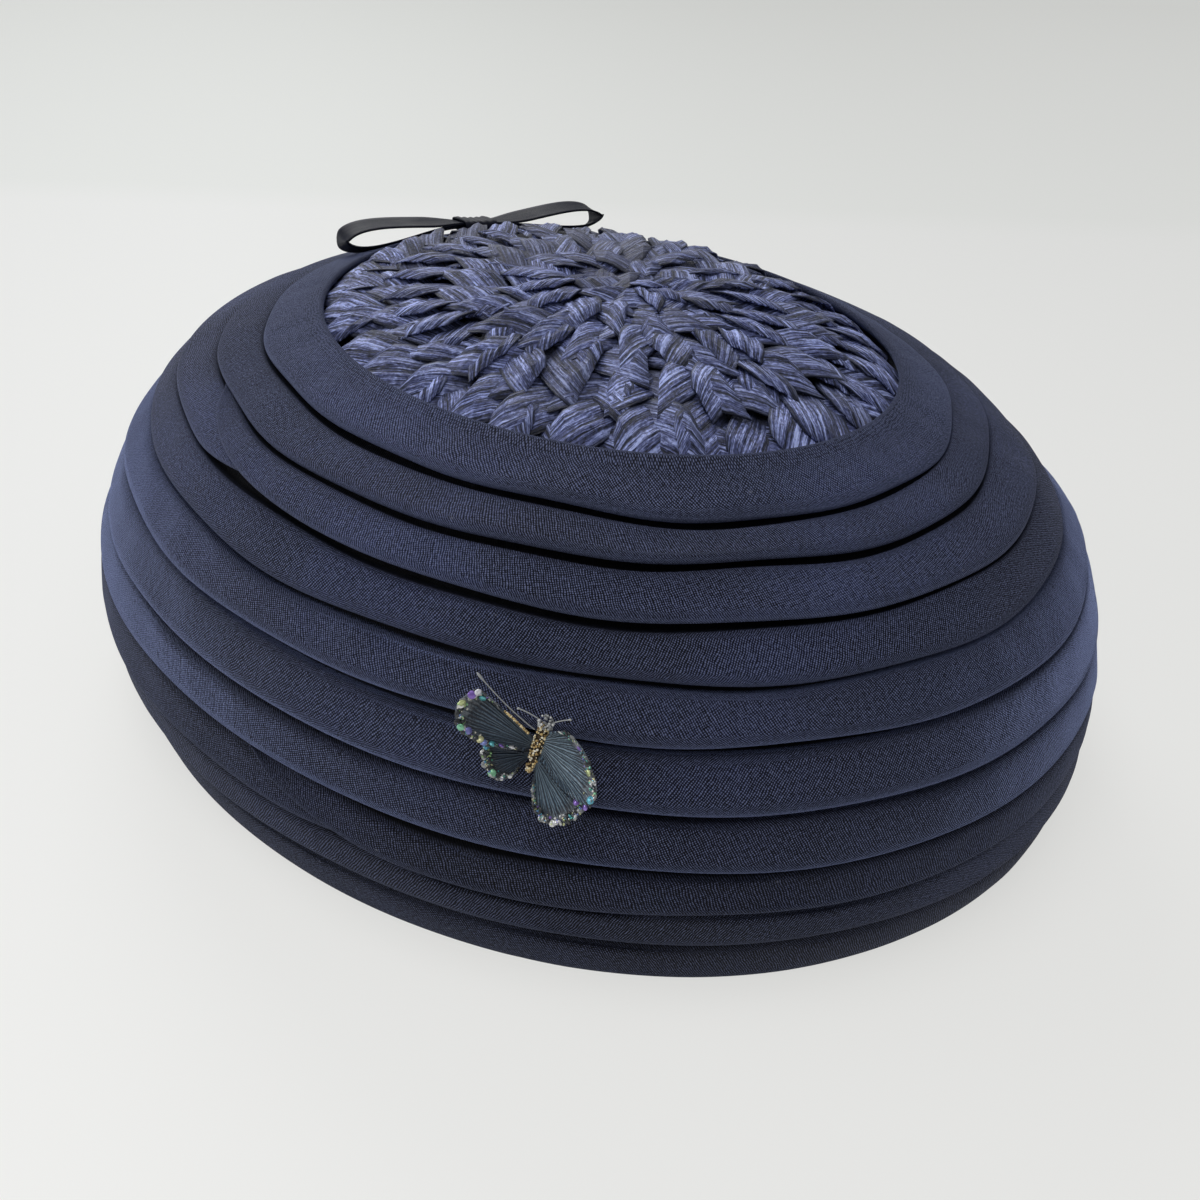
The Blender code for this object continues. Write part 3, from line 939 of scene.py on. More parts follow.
    def lapped(self, degrees: Array, reach: Array) -> tuple[Array, ...]:
        """Return how far a lapped strip shows, how flat it is and how it lies.

        Args:
            degrees: Angle of each point, on past a full turn at the strip's end.
            reach: Reach of the whole band there.

        Returns:
            The shown reach, the share of its thickness, and the shifts off the
            cloth at the seat and on the band.
        """
        lap = self.lap
        since = degrees - lap.emerge
        left = lap.emerge + 360.0 + lap.overlap - degrees
        rise = numpy.clip(1.0 - since / lap.slant, 0.0, 1.0)
        sink = lap.sink * smooth_step(-left, -lap.sink_ease, 0.0)
        shown = reach * (1.0 - rise ** 2) * (1.0 - sink)
        start, end = lap.over_ease
        over = 1.0 - smooth_step(since, lap.overlap + start, lap.overlap + end)
        under = 1.0 - smooth_step(left, lap.overlap, lap.overlap + lap.under_ease)
        squeeze = 1.0 - 0.5 * numpy.maximum(over, under)
        off_seat = lap.over_off[0] * over + lap.under_off[0] * under
        off_band = lap.over_off[1] * over + lap.under_off[1] * under
        return shown, squeeze, off_seat, off_band

    def build(self) -> None:
        section = self.section()
        name = EDGES[self.row].node
        reach = self.crown.band(self.row, numpy.linspace(-math.pi, math.pi, 73))[1]
        steps = numpy.diff(section[:, 0]) * reach.mean() + numpy.diff(section[:, 1])
        width = float(numpy.hypot(steps, numpy.diff(section[:, 2])).sum())
        turned = self.turn()[1] / 360.0
        length = self.crown.perimeter(self.row) * turned
        form = bmesh.new()
        add_grid(form, round(self.steps * turned), len(section) - 1, self.place, (length, width),
                 opened=self.opened)
        close_form(form)
        piece = finish_piece(form, "cloth_" + name, self.finish.make(), self.cloth)
        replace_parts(piece, name)


# The straw
@dataclass
class StrawTop:
    """Plaited paper straw: teeth of crinkled strands over a dome painted near black as shade."""

    crown: CrownShape
    finish: StrawFinish
    rise: float = 0.0098
    edge_rise: float = 0.0022
    back_rise: float = 0.0042
    back_angle: float = 125.0
    edge_share: float = 0.95
    outermost: float = 1.05
    fullness: float = 2.3
    inset: float = 0.0006
    counts: tuple[int, ...] = (34, 29, 22, 15, 8)
    row_gap: float = 0.205
    first_tip: float = 1.07
    second_tip: float = 0.815
    least_pitch: float = 0.0076
    under_edge: float = 0.0017
    margin: float = 0.0004
    root_depth: float = 0.00240
    stand: float = 0.00270
    nose: float = 0.00045
    lowered: float = 0.0016
    behind_depth: float = 0.0014
    low_angle: float = 100.0
    shaded_angle: float = 122.0
    seed: int = 17

    def rim_oval(self) -> tuple[Array, Array]:
        """Return the middle and the half sizes of the straw's rim."""
        oval = EDGES[0]
        sizes = numpy.array((self.crown.length, self.crown.width))
        middle = sizes * (oval.shift_x, oval.shift_y)
        return middle, sizes * (oval.half_length / 2, oval.half_width / 2) - self.inset

    def centre(self) -> Array:
        """Return the point where the plaits meet."""
        return self.rim_oval()[0] + (self.crown.length * 0.022, self.crown.width * 0.013)

    def polar(self, points: Array) -> tuple[Array, Array]:
        """Return each flat point's share of the way to the rim, and its angle."""
        middle, half = self.rim_oval()
        start = (self.centre() - middle) / half
        way = (points - self.centre()) / half
        square = (way ** 2).sum(axis=-1) + 1e-12
        linear = (way * start).sum(axis=-1)
        rest = (start ** 2).sum() - 1.0
        reach = (-linear + numpy.sqrt(linear ** 2 - square * rest)) / square
        rim = start + way * reach[:, None]
        return 1.0 / reach, numpy.arctan2(rim[:, 1], rim[:, 0])

    def flat_point(self, share: Array, angle: Array) -> Array:
        """Return the flat point at a share of the way to the rim."""
        middle, half = self.rim_oval()
        rim = middle + half * numpy.stack((numpy.cos(angle), numpy.sin(angle)), axis=-1)
        return self.centre() + (rim - self.centre()) * numpy.asarray(share)[..., None]

    def height(self, share: Array, angle: Array) -> Array:
        """Return the dome's height at a share of the way to the rim."""
        back = (1.0 + numpy.cos(angle - math.radians(self.back_angle))) / 2
        edge = self.edge_rise + self.back_rise * back ** 2
        inward = numpy.minimum(share / self.edge_share, 1.0)
        dome = edge + (self.rise - edge) * (1.0 - inward ** self.fullness)
        brim = 1.0 - smooth_step(share, self.edge_share - 0.03, self.outermost)
        return self.crown.height - self.under_edge + (dome + self.margin) * brim

    def base_points(self, along: Array, across: Array) -> Array:
        """Return the dark dome's points, from under the first tier to the centre."""
        angle = math.tau * along
        share = self.outermost * (1.0 - across)
        flat = self.flat_point(share, angle)
        sunk = 0.9 * MM + 3.2 * MM * (1.0 - smooth_step(share, 1.0, self.outermost))
        return numpy.column_stack((flat, self.height(share, angle) - sunk))

    def build_base(self) -> None:
        """Make the dome under the strands, painted near black as the shade between them."""
        form = bmesh.new()
        add_grid(form, 120, 18, self.base_points, (0.3, 0.05), tint=1.0)
        close_form(form)
        shade = StrawFinish(
            "navy_straw_shade", dark=(0.003, 0.004, 0.009), body=(0.010, 0.012, 0.026),
            mid=(0.013, 0.016, 0.034), pale=(0.016, 0.019, 0.042), brown=(0.008, 0.009, 0.018),
            gloss=0.1)
        piece = finish_piece(form, "straw_base", shade.make(), 0.0008)
        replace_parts(piece, "straw_top")

    def strand(self, form: Form, tip_share: float, tip_angle: float,
               side: Side, upper: Side, pitch: float, chance: Generator) -> None:
        """Add one strand of a tooth.

        Args:
            form: The form of all strands.
            tip_share: Share of the way to the rim at the tooth's tip.
            tip_angle: The tip's angle in radians.
            side: The side that the strand comes from.
            upper: The side whose strand lies over the other at the tip.
            pitch: Distance from tooth to tooth in this row.
            chance: Seeded random numbers.
        """
        size = min(1.0, pitch / (8.0 * MM))
        over = -1.0 if side is upper else 1.0
        wide = pitch * chance.uniform(0.78, 1.02)
        long = pitch * chance.uniform(1.85, 2.30)
        lean = side.value * math.radians(chance.uniform(23.0, 41.0))
        outward = unit(self.flat_point(1.0, tip_angle) - self.centre())
        cosine, sine = math.cos(lean), math.sin(lean)
        way = numpy.array((outward[0] * cosine - outward[1] * sine,
                           outward[0] * sine + outward[1] * cosine))
        cross = numpy.array((-way[1], way[0]))
        tip = self.flat_point(tip_share, tip_angle)
        tip = tip - cross * side.value * pitch * (chance.uniform(-0.04, 0.08) + 0.13 * over)
        bow = chance.uniform(-0.05, 0.10) * long * side.value
        slant = chance.uniform(0.26, 0.42)
        roll = side.value * (chance.uniform(-0.05, 0.11) - 0.04 * over)
        ridge = chance.uniform(-0.5, 0.5)
        slope = chance.uniform(0.10, 0.50) * MM * size
        folds = chance.uniform(1.2, 2.4)
        phase = chance.uniform(0.0, math.tau)
        crease = chance.uniform(0.12, 0.26) * MM * size
        proud = (chance.uniform(-0.25, 0.25) + 0.15 - 0.32 * over) * MM - self.lowered
        behind = 0.5 + 0.5 * math.cos(tip_angle - math.radians(self.low_angle))
        proud -= self.behind_depth * behind ** 2 * max(0.0, min(1.0, (tip_share - 0.6) / 0.35))

        def place(along: Array, across: Array) -> Array:
            """Return the strand's points."""
            cut = 2.0 * across - 1.0
            belly = 0.94 + 0.06 * numpy.sin(math.pi * along)
            pinch = 1.0 - 0.24 * smooth_step(along, 0.78, 1.0)
            half = wide / 2 * belly * pinch
            reach = along * (1.0 - slant * (1.0 + side.value * cut) / 2)
            flat = (tip - way * (long * (1.0 - reach))[:, None]
                    + cross * (half * cut + bow * numpy.sin(math.pi * along))[:, None])
            share, angle = self.polar(flat)
            height = self.height(numpy.minimum(share, self.outermost), angle)
            stand = self.stand * smooth_step(along, 0.0, 0.85) - self.root_depth
            stand = stand - self.nose * smooth_step(along, 0.88, 1.0)
            tent = slope * (0.6 - numpy.abs(cut - ridge))
            curl = -0.18 * MM * size * numpy.abs(cut) ** 6
            fold = crease * numpy.sin(math.pi * folds * cut * 1.5 + phase + 2.0 * along)
            relief = stand * size + (tent + fold + curl) * pinch + roll * half * cut
            return numpy.column_stack((flat, height + relief + proud))

        def opened(along: Array, across: Array) -> Array:
            """Return how open to the light the strand's points lie, painted as shade at its edges
            and root.
            """
            edge = 1.0 - 0.92 * numpy.abs(2.0 * across - 1.0) ** 7
            return edge * (0.08 + 0.92 * smooth_step(along, 0.16, 0.62))

        # Painted light and shade: strands towards shaded_angle get a higher tint and are painted
        # darker, those at the sides and front lighter; the rest of the tint varies at random
        away = tip_angle - math.radians(self.shaded_angle)
        shaded = 0.15 * math.cos(2.0 * away) + 0.22 * math.cos(away)
        tint = float(numpy.clip(chance.normal(0.38, 0.26) + shaded, 0.0, 1.0))
        shift = (chance.uniform(0.0, 3.0), chance.uniform(0.0, 3.0))
        add_grid(form, 6, 9, place, (long, wide), shift, tint, opened)

    def build_strands(self) -> None:
        """Make all rows of teeth, from the rim to the centre."""
        chance = numpy.random.default_rng(self.seed)
        form = bmesh.new()
        rim = self.crown.perimeter(0)
        for row, count in enumerate(self.counts):
            tip_share = self.first_tip
            if row > 0:
                tip_share = self.second_tip - self.row_gap * (row - 1)
            pitch = max(rim * tip_share / count, self.least_pitch)
            for tooth in range(count):
                turn = (tooth + 0.5 * (row % 2) + chance.uniform(-0.10, 0.10)) / count
                share = tip_share * (1.0 + chance.uniform(-0.02, 0.02) * (row > 0))
                upper = Side.LEFT if chance.random() < 0.5 + 0.35 * (-1) ** row else Side.RIGHT
                for side in Side:
                    self.strand(form, tip_share=share, tip_angle=math.tau * turn, side=side,
                                upper=upper, pitch=pitch, chance=chance)
        piece = finish_piece(form, "straw_strands", self.finish.make(), 0.00030)
        piece.data.set_sharp_from_angle(angle=math.radians(9.0))

    def build(self) -> None:
        """Make the straw top."""
        self.build_base()
        self.build_strands()


# The bow
@dataclass
class Bow:
    """Flat bow of narrow satin ribbon on the first tier, behind the straw."""

    crown: CrownShape
    finish: SatinFinish
    angle: float = 144.4
    ribbon: float = 0.0068
    thickness: float = 0.00036
    reach: float = 0.0300
    loop: float = 0.0045
    fullness: float = 3.0
    knot: float = 0.0080
    raised: float = 0.0022
    roll: float = 24.0
    gathered: float = 0.0090
    cup: float = 0.00025
    squareness: float = 0.45

    def seat(self) -> Matrix:
        """Return the knot's frame: along the rim, down the slope, off the cloth."""
        seat = self.crown.seat(1, self.angle)
        _, reach, _, _ = self.crown.band(1, numpy.array([math.radians(self.angle)]))
        middle = Vector((0.0, float(reach[0]) / 2, self.raised))
        return seat @ Matrix.Translation(middle)

    def strand_height(self, share: Array) -> Array:
        """Return a strand's height off the bow's middle at a share of its turn."""
        phase = math.tau * share
        fullest = 2 * math.atan(math.sqrt(self.fullness + 1))
        peak = math.sin(fullest) * math.sin(fullest / 2) ** self.fullness
        swell = numpy.sin(phase) * numpy.abs(numpy.sin(phase / 2)) ** self.fullness / peak
        return self.thickness * numpy.cos(phase / 2) + self.loop / 2 * swell

    def build_loop(self, name: str, side: Side, droop: float) -> None:
        """Make one loop.

        Args:
            name: The loop's name.
            side: The side of the knot that it leaves.
            droop: How steeply its far end sinks, in degrees.
        """
        turn = self.seat() @ Matrix.Diagonal((side.value, side.value, 1.0, 1.0))
        sink = math.tan(math.radians(droop))

        def place(along: Array, across: Array) -> Array:
            """Return the loop's points."""
            out = 0.15 * MM + self.reach * (1.0 - numpy.cos(math.tau * along)) / 2
            beyond = numpy.maximum(out - self.knot / 2, 0.0)
            height = self.strand_height(along) - beyond ** 2 / (beyond + self.knot / 2) * sink
            gather = 1.0 - 0.30 * (1.0 - smooth_step(out, 0.0, self.gathered))
            wide = (across - 0.5) * self.ribbon * gather
            cup = self.cup * (2.0 * across - 1.0) ** 2 * numpy.sin(math.pi * along)
            upper = smooth_step(self.strand_height(along), -0.6 * MM, 1.2 * MM)
            height = height + side.value * wide * math.tan(math.radians(self.roll)) * upper
            return seated(turn, out, wide, height + cup)

        form = bmesh.new()
        add_grid(form, 64, 8, place, (self.reach * 2.1, self.ribbon))
        close_form(form, 0.0000004)
        piece = finish_piece(form, "ribbon_" + name, self.finish.make(),
                             self.thickness)
        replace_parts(piece, name)

    def build_knot(self) -> None:
        """Make the wrapped knot, drawn in at its middle."""
        seat = self.seat()

        def place(along: Array, across: Array) -> Array:
            """Return the knot's points: round it, then along it."""
            phase = math.tau * along
            cut = 2.0 * across - 1.0
            waist = 0.82 + 0.18 * cut ** 2
            pleat = 0.12 * MM * numpy.cos(5 * math.pi * cut)
            side, top = (numpy.sign(turn) * numpy.abs(turn) ** self.squareness
                         for turn in (numpy.cos(phase), numpy.sin(phase)))
            wide = (self.ribbon * 0.50 + 0.5 * MM) * waist * side
            height = (1.25 * MM * waist + pleat) * top
            height = height + wide * math.tan(math.radians(self.roll * 0.7))
            return seated(seat, cut * self.knot * 0.46, wide, height)

        form = bmesh.new()
        add_grid(form, 48, 20, place, (0.018, self.knot))
        close_form(form)
        piece = finish_piece(form, "ribbon_bow_knot", self.finish.make(),
                             self.thickness)
        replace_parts(piece, "bow_knot")

    def build(self) -> None:
        """Make the bow."""
        self.build_loop("bow_loop_left", Side.LEFT, 7.8)
        self.build_loop("bow_loop_right", Side.RIGHT, -3.0)
        self.build_knot()


# The butterfly
@dataclass(frozen=True)
class Wing:
    """One wing: its side, lift off the cloth in degrees, and outline in spans."""

    node: str
    side: Side
    lift: float
    outline: tuple[tuple[float, float], ...]
    sequins: tuple[tuple[float, float, float, float], ...]
    rim: Range
    silver: float
    pale_root: float


WINGS = (
    Wing("butterfly_wing_left_upper", Side.LEFT, 17.0,
         ((0.14, 0.16), (0.50, 0.34), (0.94, 0.48), (1.07, 0.24), (1.01, 0.05),
          (0.86, -0.07), (0.66, -0.10), (0.40, -0.09), (0.14, -0.04)),
         ((0.97, 0.41, 0.08, 1.1), (0.98, 0.36, 0.98, 1.0), (0.86, 0.38, 0.42, 0.9),
          (0.97, 0.47, 0.72, 1.0), (0.98, 0.62, 0.55, 1.0), (0.90, 0.64, 0.20, 1.0),
          (0.95, 0.74, 0.76, 1.1), (1.00, 0.78, 0.22, 0.9), (0.97, 0.82, 0.40, 0.9),
          (0.97, 0.87, 0.06, 0.9), (0.95, 0.93, 0.94, 1.0)),
         (0.24, 0.95), 0.55, 0.35),
    Wing("butterfly_wing_left_lower", Side.LEFT, 12.0,
         ((0.14, -0.09), (0.40, -0.12), (0.60, -0.15), (0.58, -0.28),
          (0.46, -0.44), (0.30, -0.50), (0.18, -0.42), (0.14, -0.25)),
         ((0.96, 0.36, 0.34, 1.0), (0.98, 0.66, 0.56, 1.1)), (0.30, 0.95), 0.35, 0.15),
    Wing("butterfly_wing_right_lower", Side.RIGHT, 16.0,
         ((0.12, -0.10), (0.34, -0.22), (0.62, -0.34), (0.86, -0.34),
          (0.79, -0.50), (0.64, -0.69), (0.43, -0.76), (0.25, -0.66),
          (0.12, -0.36)),
         ((0.90, 0.38, 0.56, 1.1), (1.00, 0.33, 0.05, 1.0), (1.00, 0.39, 0.14, 0.9)),
         (0.34, 0.97), 0.30, 0.60),
    Wing("butterfly_wing_right_upper", Side.RIGHT, 22.0,
         ((0.12, 0.28), (0.32, 0.38), (0.56, 0.32), (0.79, 0.14), (0.94, -0.05),
          (0.94, -0.24), (0.62, -0.27), (0.34, -0.17), (0.12, -0.05)),
         ((0.93, 0.40, 0.72, 1.0), (0.97, 0.55, 0.36, 1.1), (0.96, 0.24, 0.10, 0.7)),
         (0.08, 0.58), 0.60, 0.95),
)

# Body from tail to head: share of its length, then of its radius
BODY_PROFILE = (
    (0.00, 0.00), (0.05, 0.40), (0.18, 0.60), (0.34, 0.76), (0.50, 0.86), (0.64, 1.00),
    (0.75, 0.70), (0.82, 0.74), (0.91, 0.84), (0.97, 0.52), (1.00, 0.00),
)

# Wires: points on from beside the head, in spans
ANTENNAE = (
    ("butterfly_antenna_left", Side.LEFT,
     ((0.0, 0.0, 0.0), (0.18, 0.06, 0.08), (0.33, 0.07, 0.10))),
    ("butterfly_antenna_right", Side.RIGHT,
     ((0.0, 0.0, 0.0), (0.12, 0.12, 0.09), (0.24, 0.20, 0.13))),
)

EDGE_WIRE = ((0.04, -0.12, 0.04), (0.46, 0.08, 0.16), (0.90, 0.34, 0.24))


@dataclass(frozen=True)
class Flakes:
    """Flakes strewn along the wings' borders, their sizes in millimetres."""

    name: str
    finish: SparkFinish
    seed: int
    spread: float
    inmost: float
    tilt: float
    radius: Range
    thick: float
    tints: Range
    sides: int
    count: Optional[int] = None


STREWN = (
    Flakes("butterfly_smoke_sequins", SparkFinish("smoke_sequin", SMOKE_STOPS, 0.18, 0.4),
           seed=9, spread=0.06, inmost=0.6, tilt=0.6, radius=(0.38, 0.60), thick=0.12,
           tints=(0.0, 0.9), sides=10),
    Flakes("butterfly_glitter", SparkFinish("fine_glitter", IRIS_STOPS, 0.2, 0.5),
           seed=1, spread=0.07, inmost=0.5, tilt=0.8, radius=(0.12, 0.26), thick=0.10,
           tints=(0.1, 1.0), sides=6, count=80),
)


@dataclass
class Butterfly:
    """Small pinned butterfly with ribbed, glittered and sequinned wings."""

    crown: CrownShape
    angle: float = -66.6
    drop: float = 0.0023
    lean: float = 13.0
    length: float = 0.0082
    radius: float = 0.0010
    span: float = 0.0120
    gap: float = 0.0003
    ribs: int = 13
    rib_height: float = 0.00011
    cup: float = 0.00055
    belly: float = 0.00035
    wing_cloth: float = 0.00022
    stand_off: float = 0.00016
    sequin: float = 0.00058
    sequin_lift: float = 0.00012
    crowd: int = 38
    edge_grains: int = 38
    body_grains: int = 200
    head_grains: int = 60
    wire: float = 0.000092
    seed: int = 5

    def seat(self) -> Matrix:
        """Return the butterfly's frame: right, towards the head, off the cloth."""
        seat = self.crown.seat(6, self.angle)
        turned = seat @ Matrix.Diagonal((-1.0, -1.0, 1.0, 1.0))
        moved = turned @ Matrix.Translation((0.0, -self.drop, self.radius + self.gap))
        return moved @ Matrix.Rotation(math.radians(-self.lean), 4, "Z")

    def outline_at(self, wing: Wing, share: Array) -> Array:
        """Return smooth outline points, in spans, at shares of the way round."""
        points = numpy.array(wing.outline)
        steps = numpy.linalg.norm(numpy.diff(points, axis=0), axis=1)
        knots = numpy.concatenate(((0.0,), numpy.cumsum(steps))) / steps.sum()
        slopes = numpy.gradient(points, knots, axis=0)
        spot = numpy.clip(numpy.searchsorted(knots, share, side="right") - 1, 0, len(knots) - 2)
        gap = (knots[spot + 1] - knots[spot])[:, None]
        step = (share - knots[spot])[:, None] / gap
        start, end = slopes[spot] * gap * 0.85, slopes[spot + 1] * gap * 0.85
        ease = 3 * step ** 2 - 2 * step ** 3
        return ((1 - ease) * points[spot] + (step ** 3 - 2 * step ** 2 + step) * start
                + ease * points[spot + 1] + (step ** 3 - step ** 2) * end)

    def wing_points(self, wing: Wing, out: Array, share: Array) -> Array:
        """Return a wing's points for shares out from its root and round its edge."""
        edge = self.outline_at(wing, share)
        first, last = wing.outline[0][1], wing.outline[-1][1]
        root = numpy.column_stack((numpy.full_like(share, 0.06),
                                   0.6 * (first + (last - first) * share)))
        flat = (root + (edge - root) * out[:, None]) * self.span
        fade = numpy.sin(math.pi * numpy.clip(out, 0, 1)) ** 0.5
        ribs = self.rib_height * numpy.cos(math.tau * self.ribs * share) * fade
        cup = self.cup * out ** 2 - self.belly * numpy.sin(math.pi * share) * out
        curl = self.belly * smooth_step(out, 0.82, 1.0)
        height = ribs + cup + curl
        cosine, sine = math.cos(math.radians(wing.lift)), math.sin(math.radians(wing.lift))
        return seated(self.seat(), wing.side.value * (flat[:, 0] * cosine - height * sine),
                      flat[:, 1], flat[:, 0] * sine + height * cosine)

    def build_wing(self, wing: Wing) -> None:
        """Make one ribbed wing."""
        form = bmesh.new()
        add_grid(form, 16, 78, lambda out, share: self.wing_points(wing, out, share))
        close_form(form)
        field = (0.020, 0.040, 0.074) if wing.side is Side.LEFT else (0.066, 0.120, 0.178)
        finish = WingFinish(wing.node.removeprefix("butterfly_"), field=field,
                            silver_share=wing.silver, pale_root=wing.pale_root, rim=wing.rim)
        piece = finish_piece(form, "cloth_" + wing.node, finish.make(), self.wing_cloth)
        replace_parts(piece, wing.node)

    def surface_frame(self, wing: Wing, out: float, share: float) -> Matrix:
        """Return a frame on a wing's upper side."""
        outs = numpy.array((out, min(out + 0.03, 1.0), out - 0.03, out))
        shares = numpy.array((share, share, share, min(share + 0.02, 1.0)))
        points = self.wing_points(wing, outs, shares)
        away = Vector(points[1] - points[2]).normalized()
        across = Vector(points[3] - points[0])
        normal = away.cross(across).normalized()
        if normal.dot(self.seat().col[2].to_3d()) < 0.0:
            normal = -normal
        across = normal.cross(away)
        made = Matrix((away, across, normal)).transposed().to_4x4()
        made.translation = Vector(points[0]) + normal * self.stand_off
        return made

    def build_sequins(self) -> None:
        """Make the bright round sequins along the wings' borders."""
        chance = numpy.random.default_rng(self.seed)
        form = bmesh.new()
        lift = Matrix.Translation((0.0, 0.0, self.sequin_lift))
        for wing in WINGS:
            for out, share, tint, size in wing.sequins:
                seat = self.surface_frame(wing, out, share) @ lift @ tilted(chance, 0.35)
                add_flake(form, seat, self.sequin * size, 0.16 * MM, tint, 14)
        finish = SparkFinish("iris_sequin", IRIS_STOPS, 0.25, 0.45)
        finish_piece(form, "butterfly_sequins", finish.make())

    def build_flakes(self, flakes: Flakes) -> None:
        """Strew flakes along the wings' borders, evenly or, where counted, by chance."""
        chance = numpy.random.default_rng(self.seed + flakes.seed)
        form = bmesh.new()
        for wing in WINGS:
            crowd = round(self.crowd * (wing.rim[1] - wing.rim[0]) * len(wing.outline) / 9)
            for even in numpy.linspace(*wing.rim, flakes.count or crowd):
                out = 1.0 - abs(chance.normal(0.0, flakes.spread))
                share = chance.uniform(*wing.rim) if flakes.count else even
                seat = self.surface_frame(wing, max(out, flakes.inmost), share)
                seat = seat @ tilted(chance, flakes.tilt)
                radius = chance.uniform(*flakes.radius) * MM
                tint = chance.uniform(*flakes.tints)
                add_flake(form, seat, radius, flakes.thick * MM, tint, flakes.sides)
        finish_piece(form, flakes.name, flakes.finish.make())

    def body_ring(self, share: Array) -> Array:
        """Return the body's radius at shares of the way from tail to head."""
        return self.radius * numpy.interp(share, *zip(*BODY_PROFILE))

    def build_body(self) -> None:
        """Make the ringed body, wide at its chest."""
        seat = self.seat()

        def place(along: Array, across: Array) -> Array:
            """Return the body's points: round it, then from tail to head."""
            phase = math.tau * along
            inner = (across > 0.03) * (across < 0.97)
            rings = 1.0 + 0.07 * numpy.sin(math.tau * 13 * across) * inner
            size = 0.90 * self.body_ring(across) * rings
            return seated(seat, size * numpy.cos(phase), (across - 0.5) * self.length,
                          size * numpy.sin(phase))

        form = bmesh.new()
        add_grid(form, 28, 60, place, (0.006, self.length), tint=0.10)
        close_form(form)
        finish = SparkFinish("gold_body", GOLD_AND_GLINT_STOPS, 0.35)
        piece = finish_piece(form, "gold_butterfly_body", finish.make())
        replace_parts(piece, "butterfly_body")

    def build_gold_grains(self) -> None:
        """Make the gold grains along the left wing's front edge and on the body."""
        chance = numpy.random.default_rng(self.seed + 2)
        seat = self.seat()
        form = bmesh.new()
        for share in numpy.linspace(0.02, 0.19, self.edge_grains):
            out = numpy.array([0.97 + 0.05 * chance.random()])
            spot = Vector(self.wing_points(WINGS[0], out, numpy.array([share]))[0])
            add_grain(form, spot, (0.14, 0.25), (0.3, 0.95), chance, speckled=True)
        for _ in range(self.body_grains):
            share = chance.uniform(0.05, 0.97)
            phase = chance.uniform(-0.4, math.pi + 0.4)
            size = float(self.body_ring(share))
            spot = Vector((size * math.cos(phase), (share - 0.5) * self.length,
                           size * math.sin(phase)))
            add_grain(form, seat @ spot, (0.10, 0.22), (0.45, 1.0), chance)
        finish = SparkFinish("gold_grains", GOLD_AND_GLINT_STOPS, 0.22, 0.25)
        finish_piece(form, "butterfly_gold_grains", finish.make())

    def build_head_grains(self) -> None:
        """Make the silvery grains on the head."""
        chance = numpy.random.default_rng(self.seed + 3)
        seat = self.seat()
        form = bmesh.new()
        head = Vector((0.0, self.length * 0.50, 0.0))
        for _ in range(self.head_grains):
            way = Vector(chance.normal(0.0, 1.0, 3)).normalized()
            way.z = abs(way.z)
            spot = seat @ (head + way * self.radius * 1.15)
            add_grain(form, spot, (0.13, 0.27), (0.5, 1.0), chance)
        finish = SparkFinish("silver_grains", SMOKE_STOPS, 0.22, 0.2)
        finish_piece(form, "butterfly_head_grains", finish.make())

    def build_antenna(self, name: str, side: Side, steps: tuple[Triple, ...]) -> bpy.types.Object:
        """Make an antenna or the edge's wire, thin and curved with a knob.

        Args:
            name: The wire's name, after wire_.
            side: Its side of the head.
            steps: Points on from beside the head, in spans.

        Returns:
            The new object.
        """
        seat = self.seat()
        start = numpy.array((side.value * 0.5 * MM, self.length / 2, 0.2 * MM))
        points = start + numpy.array(steps) * (side.value, 1.0, 1.0) * self.span
        way = unit(points[2] - points[0])
        lift = unit(numpy.cross(way, (0.0, 0.0, 1.0)))
        rise = numpy.cross(lift, way)
        bend = 2 * points[1] - (points[0] + points[2]) / 2

        def place(along: Array, across: Array) -> Array:
            """Return the wire's points: round it, then along it."""
            phase = math.tau * along
            weights = numpy.column_stack(
                ((1 - across) ** 2, 2 * across * (1 - across), across ** 2))
            spots = weights @ numpy.array((points[0], bend, points[2]))
            knob = 1.0 + 1.3 * smooth_step(across, 0.86, 0.94)
            tip = numpy.clip((across - 0.93) / 0.07, 0, 1)
            size = self.wire * knob * numpy.sqrt(1.0 - tip ** 2) * (across > 0.001)
            ring = numpy.cos(phase)[:, None] * lift + numpy.sin(phase)[:, None] * rise
            return seated(seat, *(spots + size[:, None] * ring).T)

        form = bmesh.new()
        add_grid(form, 10, 36, place, tint=0.74)
        close_form(form)
        finish = SparkFinish("wire_" + name, SMOKE_STOPS, 0.35, 0.5)
        return finish_piece(form, "wire_" + name, finish.make())

    def build(self) -> None:
        """Make the butterfly."""
        for wing in WINGS:
            self.build_wing(wing)
        self.build_sequins()
        for flakes in STREWN:
            self.build_flakes(flakes)
        self.build_body()
        self.build_gold_grains()
        self.build_head_grains()
        for name, side, steps in ANTENNAE:
            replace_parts(self.build_antenna(name, side, steps), name)
        self.build_antenna("butterfly_edge", Side.LEFT, EDGE_WIRE)


